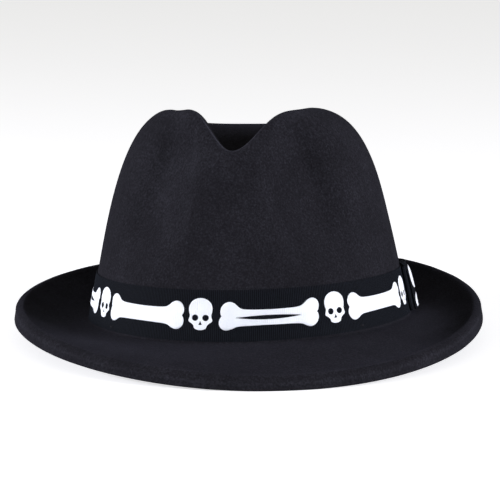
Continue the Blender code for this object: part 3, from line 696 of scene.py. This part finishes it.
def felt_rows(phi):
    """The outer surface as rows of points from the cut edge to the middle: edge, brim, break, wall, dent."""
    rows = [rolled_edge(phi, np.full_like(phi, 1 - a)) for a in shares(EDGE_ROWS)]
    rows += [brim(phi, np.full_like(phi, 1 - a)) for a in shares(BRIM_ROWS)]
    rows += [break_line(phi, np.full_like(phi, a)) for a in shares(BREAK_ROWS)]
    start = BREAK_RADIUS / crest_height(phi)
    rows += [wall(phi, start + (1 - start) * (1 - (1 - a) ** 1.9)) for a in shares(WALL_ROWS)]
    rows += [dent(phi, np.full_like(phi, a**1.3)) for a in shares(DENT_ROWS)]
    return np.array(rows)


def edge_lines(outer):
    """Where the felt is pressed to a line: the brim's crest, a second line lower on its roll, and the crest
    of the crown, which is strongest along the notch. It gives a height for every point, and a lightening that
    is partly worn nap and partly painted highlight on those lines, brightest on the notch's lip."""
    run = run_along(outer)
    crest = run - run[EDGE_ROWS]
    horns = run - run[EDGE_ROWS + BRIM_ROWS + BREAK_ROWS + WALL_ROWS]
    turn = from_front(np.linspace(0, 2 * np.pi, outer.shape[1], endpoint=False))
    lip = np.exp(-((turn / np.radians(26)) ** 4))
    height = 0.28 * hump(crest, 0.3 * MM, 0.9 * MM) + 0.2 * hump(crest, -5.0 * MM, 0.8 * MM)
    height = height - 0.15 * hump(crest, -2.6 * MM, 1.2 * MM) + 0.4 * lip * hump(horns, 0, 1.2 * MM)
    # Lightening of the colour: partly worn nap, partly painted highlight where the lip, the horns' tops and
    # the brim's crest lines catch light from above.
    wear_and_highlight = 0.22 * hump(crest, 0.3 * MM, 1.0 * MM) + 0.18 * hump(crest, -5.0 * MM, 0.8 * MM)
    wear_and_highlight = wear_and_highlight + lip * 0.9 * hump(horns, 0.3 * MM, 1.3 * MM)
    wear_and_highlight = wear_and_highlight + (1 - lip) * 0.35 * hump(horns, -2 * MM, 6 * MM)
    return height * MM, wear_and_highlight


def felt_hood():
    """The outer surface, waved a little by handling, with an inner one a felt's thickness inside it."""
    phi = np.linspace(0, 2 * np.pi, 360, endpoint=False)
    outer = felt_rows(phi)
    normal = grid_normals(outer, True)
    lines, wear_and_highlight = edge_lines(outer)
    inner = outer - normal * FELT
    waves = handling_waves(outer) * 0.45 * MM
    outer = outer + normal * (waves + lines)[..., None]
    inner = inner + normal * waves[..., None]
    outer, inner = seat(outer), seat(inner)
    for side in (outer, inner):
        side[..., 2] = np.maximum(side[..., 2], 0)
    rows, columns = outer.shape[:2]
    count = rows * columns
    faces = [quads(rows, columns, 0, True), quads(rows, columns, count, True)]
    edge, following = np.arange(columns), (np.arange(columns) + 1) % columns
    faces.append(np.stack([edge, following, following + count, edge + count], -1))
    faces = list(np.concatenate(faces))
    top = seat(crown_point(np.zeros(1), np.zeros(1), np.array([DENT_FLOOR])))
    points = np.concatenate([outer.reshape(-1, 3), inner.reshape(-1, 3), top, top - (0, 0, FELT)])
    wear_and_highlight = np.concatenate([wear_and_highlight.ravel(), np.zeros(count + 2)])
    for layer in (0, 1):
        last = edge + layer * count + count - columns
        faces += [[a, b, 2 * count + layer] for a, b in zip(last, np.roll(last, -1))]
    made = piece("felt_hood_blocked", points, faces, FELT_FINISH, crease=60, wear_and_highlight=wear_and_highlight)
    dress(made, "black_felt", "felt_hood")


# Ribbon band and bow


def ribbon_piece(name, middle, along, *nodes):
    """A ribbon whose middle surface is a grid, across the ribbon by along it. Its faces stand off the middle
    by half the cloth and the ribs."""
    uv = np.stack(np.broadcast_arrays(along, run_along(middle)), -1)
    half = RIBBON / 2 + rib(along) - RIB_DEPTH / 2
    away = grid_normals(middle) * half[:, None]
    made = shell(name, seat(middle + away), seat(middle - away), RIBBON_FINISH, uv, crease=75)
    return dress(made, "black_grosgrain", *nodes)


def ribbon_band():
    """The band follows the wall once round, and climbs over its own start on an S-shaped ramp."""
    start, end = BAND_START, BAND_START + GIRTH + BAND_LAP
    along = np.linspace(start, end, int((end - start) / RIB_PITCH * 4))
    lift = (RIBBON + 0.25 * MM) * smooth((along - start - GIRTH + LAP_RAMP) / LAP_RAMP)
    heights = np.linspace(BAND_LOW, BAND_HIGH, 8)[:, None]
    middle = outside(along[None, :], heights, RIBBON / 2 + lift[None, :])
    made = ribbon_piece("ribbon_band_ribbed", middle, along, "ribbon_band")
    return made, (BAND_HIGH - BAND_LOW, end - start)


def resampled(path, step):
    """Points a step apart along a line through the given ones."""
    run = run_along(path)
    even = np.linspace(0, run[-1], max(8, int(run[-1] / step)))
    line = np.stack([np.interp(even, run, path[:, i]) for i in range(path.shape[1])], -1)
    for _ in range(3):
        line[1:-1] = (line[:-2] + 2 * line[1:-1] + line[2:]) / 4
    return line, even


def fold(middle, radius, towards):
    """Half a circle from the inner layer to the outer one."""
    angle = np.linspace(-np.pi / 2, np.pi / 2, 13)
    return np.stack([middle[0] + towards * radius * np.cos(angle), middle[1] + radius * np.sin(angle)], -1)


def front_loop_path():
    middle = (FRONT_LOOP_END + LOOP_FOLD, LOOP_INNER + LOOP_FOLD)
    turn = fold(middle, LOOP_FOLD, -1)
    ends = np.array([[BOW_MIDDLE - GAP, LOOP_INNER], [BOW_MIDDLE - GAP, LOOP_INNER + 1.5 * LOOP_FOLD]])
    return np.concatenate([ends[:1], turn, ends[1:]])


def rear_loop_inner(along):
    return LOOP_INNER + REAR_LOOP_LIFT * smooth((along - BOW_MIDDLE - WRAP_WIDTH / 2) / (10 * MM))


def rear_loop_outer(along):
    """The outer layer rises from the wrap on half a sine and comes down to the fold."""
    share = (along - BOW_MIDDLE - WRAP_WIDTH / 2) / (REAR_LOOP_END - BOW_MIDDLE - WRAP_WIDTH / 2)
    rise = REAR_LOOP_RISE * np.sin(np.pi * np.clip(share, 0, 1))
    return rear_loop_inner(along) + LOOP_FOLD * (1.5 + 0.5 * smooth(share * 3)) + rise


def rear_loop_path():
    end = REAR_LOOP_END - LOOP_FOLD
    turn = fold((end, rear_loop_inner(end) + LOOP_FOLD), LOOP_FOLD, 1)
    along = np.linspace(BOW_MIDDLE + GAP, end - 1.5 * MM, 24)
    under = np.stack([along, rear_loop_inner(along)], -1)
    over = np.stack([along, rear_loop_outer(along)], -1)[::-1]
    return np.concatenate([under, turn, over])


def bow_loop(name, path, narrow_from, *nodes):
    """A folded ribbon that stands on the band. Its edges draw in under the wrap."""
    line, along = resampled(path, RIB_PITCH / 4)
    gather = smooth(1 - np.abs(line[:, 0] - BOW_MIDDLE) / narrow_from)
    low = BAND_LOW + (0.5 + 3.0 * gather) * MM
    high = BAND_HIGH - (0.4 + 3.2 * gather) * MM
    share = np.linspace(0, 1, 8)[:, None]
    middle = outside(line[None, :, 0], low + (high - low) * share, line[None, :, 1])
    made = ribbon_piece(name, middle, along, *nodes)


def wrap_out(height):
    """Distance of the wrap's middle from the felt: steep at the top and fullest low down."""
    share = np.clip((height - WRAP_LOW) / WRAP_TALL, 0, 1)
    return WRAP_TOP_OUT + WRAP_SWELL * np.sqrt(1 - share**6)


def wrap_surface(across, height, out):
    droop = WRAP_DROOP * (2 * across / WRAP_WIDTH) ** 2
    return outside(BOW_MIDDLE + across, height, wrap_out(height) + out - droop)


def bow_wrap():
    """The ribbon's turn round the bow's middle: it runs upright, so its ribs lie level."""
    share = np.linspace(0, 1, 60)
    heights = WRAP_LOW + WRAP_TALL * (1 - (1 - share) ** 1.6)
    line = np.stack([heights, wrap_out(heights)], -1)
    line, along = resampled(line, RIB_PITCH / 4)
    across = np.linspace(-WRAP_WIDTH / 2, WRAP_WIDTH / 2, 15)[:, None]
    droop = WRAP_DROOP * (2 * across / WRAP_WIDTH) ** 2
    middle = outside(BOW_MIDDLE + across, line[None, :, 0], line[None, :, 1] - RIBBON / 2 - droop)
    made = ribbon_piece("bow_wrap_ribbed", middle, along, "bow_wrap")


# Prints


def places(half, step, *edges):
    """Even places from -half to half, with closer ones where an outline turns down steeply at an edge."""
    even = np.arange(-half, half, step)
    away = 1.2 * MM * (1 - np.cos(np.linspace(0, np.pi / 2, 7)))
    close = [edge + side * away for edge in edges for side in (-1, 1)]
    found = np.unique(np.round(np.concatenate([even, *close, [-half, half]]), 7))
    return found[np.abs(found) <= half]


def circle_half(x, middle, radius):
    """Half the height of a circle at x."""
    return np.sqrt(np.clip(radius**2 - (x - middle) ** 2, 0, None))


def bone_side(x, length, shaft):
    """Distance of the outline from the bone's middle line: the lobe's circle, a straight slope down from it,
    and the shaft, joined by a smooth maximum."""
    lobe_x = length / 2 - BONE_LOBE
    back = lobe_x - np.abs(x)
    lobe = BONE_LOBE_OFFSET + circle_half(back, 0, BONE_LOBE)
    slope = BONE_LOBE_OFFSET + BONE_LOBE * np.sqrt(2) - back
    lobe = np.where(back > BONE_LOBE / np.sqrt(2), slope, lobe)
    shaft = shaft + 0.25 * MM * (np.abs(x) / lobe_x) ** 2
    blend = 1.8 * MM * smooth(back / (4 * MM))
    joined = (lobe + shaft + np.sqrt((lobe - shaft) ** 2 + blend**2)) / 2
    return np.where(back > BONE_LOBE / 2, joined, lobe)


def bone_figure(length, slotted, x=None):
    """The bone as two halves, each filled from its inner line to its outline. The shaft lies a little below
    the middle of its ends, and the inner lines part for the notch in each end and for the slot."""
    x = places(length / 2, RIB_PITCH / 4, -length / 2, length / 2) if x is None else x
    drop = SLOTTED_DROP if slotted else PLAIN_DROP
    lean = SLOTTED_LEAN if slotted else 0
    lobe_x = length / 2 - BONE_LOBE
    back = lobe_x - np.abs(x)
    middle = -drop * smooth(back / (3 * MM))
    notch_half = np.where(back < 0, np.maximum(0, BONE_LOBE_OFFSET - circle_half(back, 0, BONE_LOBE)), 0)
    slot = SLOT_HEIGHT / 2 * np.clip(1 - (2 * (x + SLOT_BACK) / SLOT_LENGTH) ** 2, 0, None) if slotted else 0
    share = np.linspace(0, 1, 7)[:, None]
    figure = []
    for side in (1, -1):
        low = middle + side * (notch_half + slot)
        high = side * bone_side(x, length, BONE_SHAFT - side * drop)
        y = low + (high - low) * share
        figure.append((x + lean * y, y))
    return figure


def skull_half_width(y):
    """Half width at each height: a dome over a slight waist at the temples, cheeks and a short square jaw."""
    chin = ((-7.75, 0.6), (-7.6, 1.6), (-7.1, 2.85), (-6.4, 3.25), (-5.7, 3.4), (-5.2, 3.8))
    cheek = ((-4.6, 4.5), (-4.1, 5.4), (-3.6, 6.05), (-3.0, 6.25), (-2.4, 6.1), (-1.8, 5.85))
    temple = ((-1.0, 5.7), (-0.4, 5.65), (0.3, 5.9), (1.2, 6.1), (2.3, 6.25), (3.4, 6.15))
    up = np.clip(y - DOME_FOOT, 0, None) / (SKULL_H / 2 - DOME_FOOT)
    dome = DOME_HALF * np.clip(1 - up**2.1, 0, 1) ** 0.5
    heights, widths = np.array([*chin, *cheek, *temple]).T * MM
    low = np.interp(y, heights, widths)
    return np.where(y > 2.9 * MM, dome, low)


def skull_figure():
    """The skull as four upright bands, which part for the eyes and for a small peaked nose."""
    half_h = SKULL_H / 2
    eye_x, eye_y, eye_w, eye_h = 2.75 * MM, -1.8 * MM, 1.7 * MM, 1.55 * MM
    nose_low, nose_high, nose_w = -5.3 * MM, -3.3 * MM, 0.95 * MM
    y = places(half_h, 0.25 * MM, -half_h, half_h, eye_y - eye_h, eye_y + eye_h, nose_low, nose_high)
    width = skull_half_width(y)
    eye = eye_w / eye_h * circle_half(y, eye_y, eye_h)
    nose = np.where((y > nose_low) & (y < nose_high), nose_w * (nose_high - y) / (nose_high - nose_low), 0)
    share = np.linspace(0, 1, 14)[:, None]
    figure = []
    for side in (-1, 1):
        for inner, outer in ((nose, np.minimum(eye_x - eye, width)), (np.minimum(eye_x + eye, width), width)):
            x = inner + (np.maximum(outer, inner) - inner) * share
            figure.append((side * x, np.broadcast_to(y, x.shape)))
    return figure


def printed(name, figure, place, outward, *nodes):
    """Ink on cloth: each band of the figure is a grid, laid by place(x, y), and given a film's thickness."""
    points, faces, count = [], [], 0
    for x, y in figure:
        points.append(place(x, y).reshape(-1, 3))
        faces.append(quads(*x.shape, count))
        count += x.size
    points, faces = np.concatenate(points), np.concatenate(faces)
    a, b, c, d = (points[faces[:, i]] for i in range(4))
    size = np.linalg.norm(np.cross(c - a, d - b), axis=1)
    made = piece(name, points, faces[size > 1e-12], PRINT_FINISH, outward=outward, crease=0)
    film = made.modifiers.new("film", "SOLIDIFY")
    film.thickness, film.offset = FILM, 1.0
    return dress(made, "white_print", *nodes)


def on_band(middle, height):
    """Lays a figure on the band, over its ribs."""

    def place(x, y):
        along = middle + x
        return seat(outside(along, height + y, RIBBON + 0.04 * MM + rib(along) * 0.9))

    return place


def outward_at(along):
    out = on_wall(along, BAND_MIDDLE, 1.0) - on_wall(along, BAND_MIDDLE, 0.0)
    return seat(out[None])[0] - np.array(SEAT_SHIFT)


def band_print(kind, number, figure, at, height):
    ink, solid = f"{kind}_ink_{number}", f"{kind}_print_{number}"
    return printed(ink, figure, on_band(at, height), outward_at(at), solid)


def band_prints():
    """Skulls at an even pitch with bones between them, except where the ribbon's ends meet under the bow."""
    pitch = GIRTH / REPEATS
    made, numbers = [], {"slotted_bone": 0, "plain_bone": 0}
    for i in range(REPEATS):
        at = PRINT_START + i * pitch
        made.append(band_print("skull", i + 1, skull_figure(), at, SKULL_HEIGHT))
        at += pitch / 2
        if abs(at - BAND_START - BAND_LAP / 2) < PLAIN_LENGTH / 2:
            continue
        slotted = i % 2 == 0
        kind, length = ("slotted_bone", SLOTTED_LENGTH) if slotted else ("plain_bone", PLAIN_LENGTH)
        numbers[kind] += 1
        made.append(band_print(kind, numbers[kind], bone_figure(length, slotted), at, BONE_HEIGHT))
    return made


def bow_prints():
    middle = (BOW_MIDDLE + WRAP_WIDTH / 2 + REAR_LOOP_END) / 2

    def on_rear_loop(x, y):
        along = middle + x
        face = rear_loop_outer(along) + RIBBON / 2 + RIB_DEPTH / 2
        return seat(outside(along, REAR_SKULL_HEIGHT + y, face + PRINT_CLEAR))

    out = outward_at(middle)
    printed("rear_loop_skull_ink", skull_figure(), on_rear_loop, out, "rear_loop_skull_print")

    def on_wrap(height):
        return lambda x, y: seat(wrap_surface(-y, height + x, RIB_DEPTH / 2 + PRINT_CLEAR))

    printed("wrap_skull_ink", skull_figure(), on_wrap(WRAP_SKULL_HEIGHT), out, "wrap_skull_print")
    shift = PLAIN_LENGTH / 2
    x = places(shift, RIB_PITCH / 4, shift)
    figure = bone_figure(PLAIN_LENGTH, False, x[x > shift - WRAP_BONE_LENGTH])
    figure = [(x - shift, y) for x, y in figure]
    printed("wrap_bone_ink", figure, on_wrap(WRAP_BONE_TOP), out, "wrap_bone_print")


# Stitches, sweatband and labels


def band_tacks():
    """Two short strands of thread over the ribbon's lower edge at each tack."""
    for i, share in enumerate((0.13, 0.37, 0.63, 0.87)):
        run = np.linspace(-1.3, 1.3, 15) * MM
        arch = RIBBON + (0.35 - 0.6 * (run / (1.3 * MM)) ** 4) * MM
        lines = [seat(outside(GIRTH * share + run, BAND_LOW + 2 * MM + d * MM, arch)) for d in (-0.25, 0.25)]
        made = tubes(f"band_tack_thread_{i + 1}", lines, THREAD, THREAD_FINISH, ply=0.18, twist=6.0 / MM)
        dress(made, "black_thread", f"band_tack_{i + 1}")


def lined(name, along, height, inward, thickness, material, slot, *nodes):
    """A thin cloth on the inside of the crown, from one distance inside the felt to another."""
    grid = np.broadcast_arrays(along, height, inward)
    front, back = seat(inside(*grid)), seat(inside(grid[0], grid[1], grid[2] + thickness))
    return dress(shell(name, front, back, material, np.stack(grid[:2], -1)), slot, *nodes)


def tape(name, along, heights, inward, thickness, material, slot, node_name, waves=0.0):
    """A flat tape inside the crown, with an optional ripple."""
    along, heights = np.broadcast_arrays(along[None, :], heights[:, None])
    ripple = waves * np.sin(along / (23 * MM)) * np.sin(along / (9.1 * MM) + heights / (20 * MM))
    return lined(name, along, heights, inward + ripple, thickness, material, slot, node_name)


def sweatband():
    gap = 0.6 * MM
    half = GIRTH / 2 - gap
    made = tape(
        "sweatband_tape", np.linspace(-half, half, 400), np.linspace(SWEATBAND_LOW, SWEATBAND_HIGH, 12),
        0.1 * MM, SWEATBAND, SWEATBAND_FINISH, "black_sweatband", "sweatband", 0.12 * MM,
    )
    along = np.linspace(-half + gap, half - gap, 300)
    line = seat(inside(along, SWEATBAND_LOW - GAP - REED, REED))
    dress(tubes("sweatband_reed_rod", [line], REED, REED_FINISH, sides=12), "clear_reed", "sweatband_reed")
    pitch, length = 3.2 * MM, 2.5 * MM
    starts = np.arange(-half + gap, half - gap - pitch, pitch)
    run = np.linspace(0, length, 6)
    arch = SWEATBAND + 0.1 * MM + (0.35 - 0.45 * (2 * run / length - 1) ** 4) * MM
    lines = seat(inside(starts[:, None] + run, SWEATBAND_LOW + 2 * MM, arch))
    made = tubes("sweatband_stitches", lines, 0.22 * MM, THREAD_FINISH, sides=6)
    dress(made, "black_thread", "sweatband_thread")


def sweatband_bow():
    """A small bow tie of satin: wide at its ends, pleated towards the knot."""
    across = np.linspace(-INNER_BOW_HALF, INNER_BOW_HALF, 61)
    share = np.linspace(-1, 1, 21)[:, None]
    spread = np.abs(across) / INNER_BOW_HALF
    half = (1.2 + 2.8 * spread**0.8) * MM
    pleat = 0.25 * MM * np.cos(share * 9) * (1 - spread) + 0.5 * MM * np.sin(np.pi * spread) * (1 - share**2)
    place = (GIRTH / 2 + across, INNER_BOW_HEIGHT + half * share, SWEATBAND + 0.3 * MM + pleat)
    made = lined("sweatband_bow_satin", *place, 0.35 * MM, SATIN_FINISH, "black_satin", "sweatband_bow")
    turn = np.linspace(-1.9, 1.9, 25)
    knot = np.linspace(-1.7, 1.7, 15)[:, None] * MM
    out = SWEATBAND + 0.9 * MM + 0.7 * MM * np.cos(turn)
    place = (GIRTH / 2 + 1.4 * MM * np.sin(turn), INNER_BOW_HEIGHT + knot, out)
    lined("sweatband_bow_knot", *place, 0.3 * MM, SATIN_FINISH, "black_satin")


def size_label():
    along = GIRTH / 2 - 60 * MM + np.linspace(-9, 9, 25) * MM
    made = tape(
        "size_label_woven", along, np.linspace(14, 24, 9) * MM,
        SWEATBAND + 0.2 * MM, 0.25 * MM, LABEL_FINISH, "white_label", "size_label", 0.05 * MM,
    )


def care_label():
    """The hanging label: a rectangle that bellies a little between its stitched top and its free foot."""
    low, high = (np.array(corner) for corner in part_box("care_label"))
    joint = frame["record"]["behaviour"]["joints"][0]
    hinge, axis = np.array(joint["pos_m"]), -np.array(joint["axis"])
    axis = axis / np.linalg.norm(axis)
    inward = np.array([-axis[1], axis[0], 0])
    inward = inward * -np.sign(inward @ hinge)
    half, drop = CARE_LABEL_HALF, high[2] - low[2]
    u, v = np.meshgrid(np.linspace(-1, 1, 25), np.linspace(0, 1, 21))
    belly = 0.5 * MM * np.sin(np.pi * v) * v + 0.25 * MM * u * u * v
    down = np.array([0, 0, -1.0])
    sheet = hinge + (u * half)[..., None] * axis + belly[..., None] * inward + (v * drop)[..., None] * down
    uv = np.stack([u * half, v * drop], -1)
    made = shell("care_label_woven", sheet, sheet + inward * LABEL, LABEL_FINISH, uv)
    dress(made, "white_label", "care_label", body="label_flap")
    centres = np.linspace(-0.86, 0.86, 8) * half
    run = np.linspace(-0.9, 0.9, 7) * MM
    arch = (0.25 - 0.3 * (run / (0.9 * MM)) ** 4) * MM
    spot = hinge - inward * 0.1 * MM - down * 0.6 * MM
    lines = spot + (centres[:, None] + run)[..., None] * axis - arch[:, None] * down
    made = tubes("care_label_stitches", lines, 0.16 * MM, THREAD_FINISH, sides=6)
    dress(made, "black_thread", "care_label_thread")


# Stage


def towards(azimuth, elevation):
    """The direction of something seen at an azimuth from the front and an elevation."""
    level = np.cos(elevation)
    return Vector((np.sin(azimuth) * level, -np.cos(azimuth) * level, np.sin(elevation)))


def softbox(name, azimuth, elevation, distance, size, power, colour=(1, 1, 1)):
    """A rectangular soft light aimed at the middle of the hat."""
    aim = (Vector(cad_box[0]) + Vector(cad_box[1])) / 2
    away = towards(np.radians(azimuth), np.radians(elevation))
    data = bpy.data.lights.new(name, "AREA")
    data.shape, data.size, data.size_y = "RECTANGLE", *size
    data.energy, data.color = power, colour
    lamp = linked(name, data)
    lamp.location = aim + away * distance
    lamp.rotation_mode = "QUATERNION"
    lamp.rotation_quaternion = (-away).to_track_quat("-Z", "Y")


def floor():
    """A wide pale floor just under the brim. Seen directly it glows a little, as a lit sweep does, so that it
    runs into the white behind it; what it throws back on to the hat is softer."""
    made, tree, shader = finish("pale_floor", roughness=0.9, specular=0.0)
    where = object_place(tree)
    seen = node(tree, "ShaderNodeLightPath").outputs["Is Camera Ray"]
    stops = [(0.0, (0.88, 0.88, 0.885, 1)), (1.0, (0.9, 0.9, 0.9, 1))]
    bright = colour_ramp(tree, noise(tree, where, 3.0, 2.0), stops)
    bounced = (FLOOR_BOUNCE, FLOOR_BOUNCE, FLOOR_BOUNCE, 1)
    mixed = node(tree, "ShaderNodeMix", {"Factor": seen, 6: bounced, 7: bright}, data_type="RGBA")
    tree.links.new(mixed.outputs[2], shader.inputs["Base Color"])
    shader.inputs["Emission Color"].default_value = (1, 1, 1, 1)
    tree.links.new(calc(tree, "MULTIPLY", seen, FLOOR_GLOW), shader.inputs["Emission Strength"])
    side, level = 30.0, -0.2 * MM
    corners = [(-side, -side, level), (side, -side, level), (side, side, level), (-side, side, level)]
    mesh = bpy.data.meshes.new("pale_floor")
    mesh.from_pydata(corners, [], [(0, 1, 2, 3)])
    mesh.materials.append(made)
    linked("pale_floor", mesh)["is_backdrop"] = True


def backdrop():
    """White to the camera; dim and slightly warm as light."""
    world = bpy.data.worlds.new("studio")
    world.use_nodes = True
    tree = world.node_tree
    ground = tree.nodes["Background"]
    seen = node(tree, "ShaderNodeLightPath").outputs["Is Camera Ray"]
    dim, white = (AMBIENT, AMBIENT * 0.98, AMBIENT * 0.92, 1), (1.1, 1.1, 1.1, 1)
    tint = node(tree, "ShaderNodeMix", {"Factor": seen, 6: dim, 7: white}, data_type="RGBA")
    tree.links.new(tint.outputs[2], ground.inputs["Color"])
    bpy.context.scene.world = world


def studio():
    floor()
    softbox("left_softbox", -68, 10, 1.7, (0.9, 0.6), LEFT_POWER, (0.90, 0.91, 1.0))
    softbox("right_softbox", 71, 10, 1.7, (0.9, 0.6), RIGHT_POWER, (0.90, 0.91, 1.0))
    softbox("front_fill", 4, 14, 2.4, (1.6, 0.8), FILL_POWER)
    backdrop()
    bpy.context.scene.view_settings.view_transform = "Standard"


def camera():
    """A long lens 1.6 m away, a little to the wearer's left and a little above the brim."""
    azimuth, elevation, roll = np.radians((6.203, 6.915, 1.088))
    right = Vector((np.cos(azimuth), np.sin(azimuth), 0))
    back = towards(azimuth, elevation)
    up = back.cross(right)
    turned_up = right * np.sin(roll) + up * np.cos(roll)
    distance, sensor, field = 1.6, 36.0, 268.74 * MM
    origin = Vector(SEAT_SHIFT)
    place = origin + SEAT_TURN @ (back * distance)
    aim = origin + SEAT_TURN @ (turned_up * 35.77 * MM)
    view = (aim - place).normalized()
    upright = SEAT_TURN @ turned_up
    side = view.cross(upright).normalized()
    true_up = side.cross(view)
    turn = Matrix((side, true_up, -view)).transposed()
    data = bpy.data.cameras.new("long_lens")
    data.sensor_width, data.lens = sensor, sensor * distance / field
    data.clip_start, data.clip_end = 0.1, 100
    made = linked("long_lens", data)
    made.matrix_world = Matrix.Translation(place) @ turn.to_4x4()
    bpy.context.scene.camera = made


felt_hood()
band, band_flat = ribbon_band()
ink = band_prints()
bow_loop("bow_front_loop_ribbed", front_loop_path(), 11 * MM, "bow_front_loop")
bow_loop("bow_rear_loop_ribbed", rear_loop_path(), 16 * MM, "bow_rear_loop")
bow_wrap()
bow_prints()
band_tacks()
sweatband()
sweatband_bow()
size_label()
care_label()
studio()
camera()

boxes = {"cad": cad_box, "looks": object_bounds()}
{name: [list(corner) for corner in box] for name, box in boxes.items()}
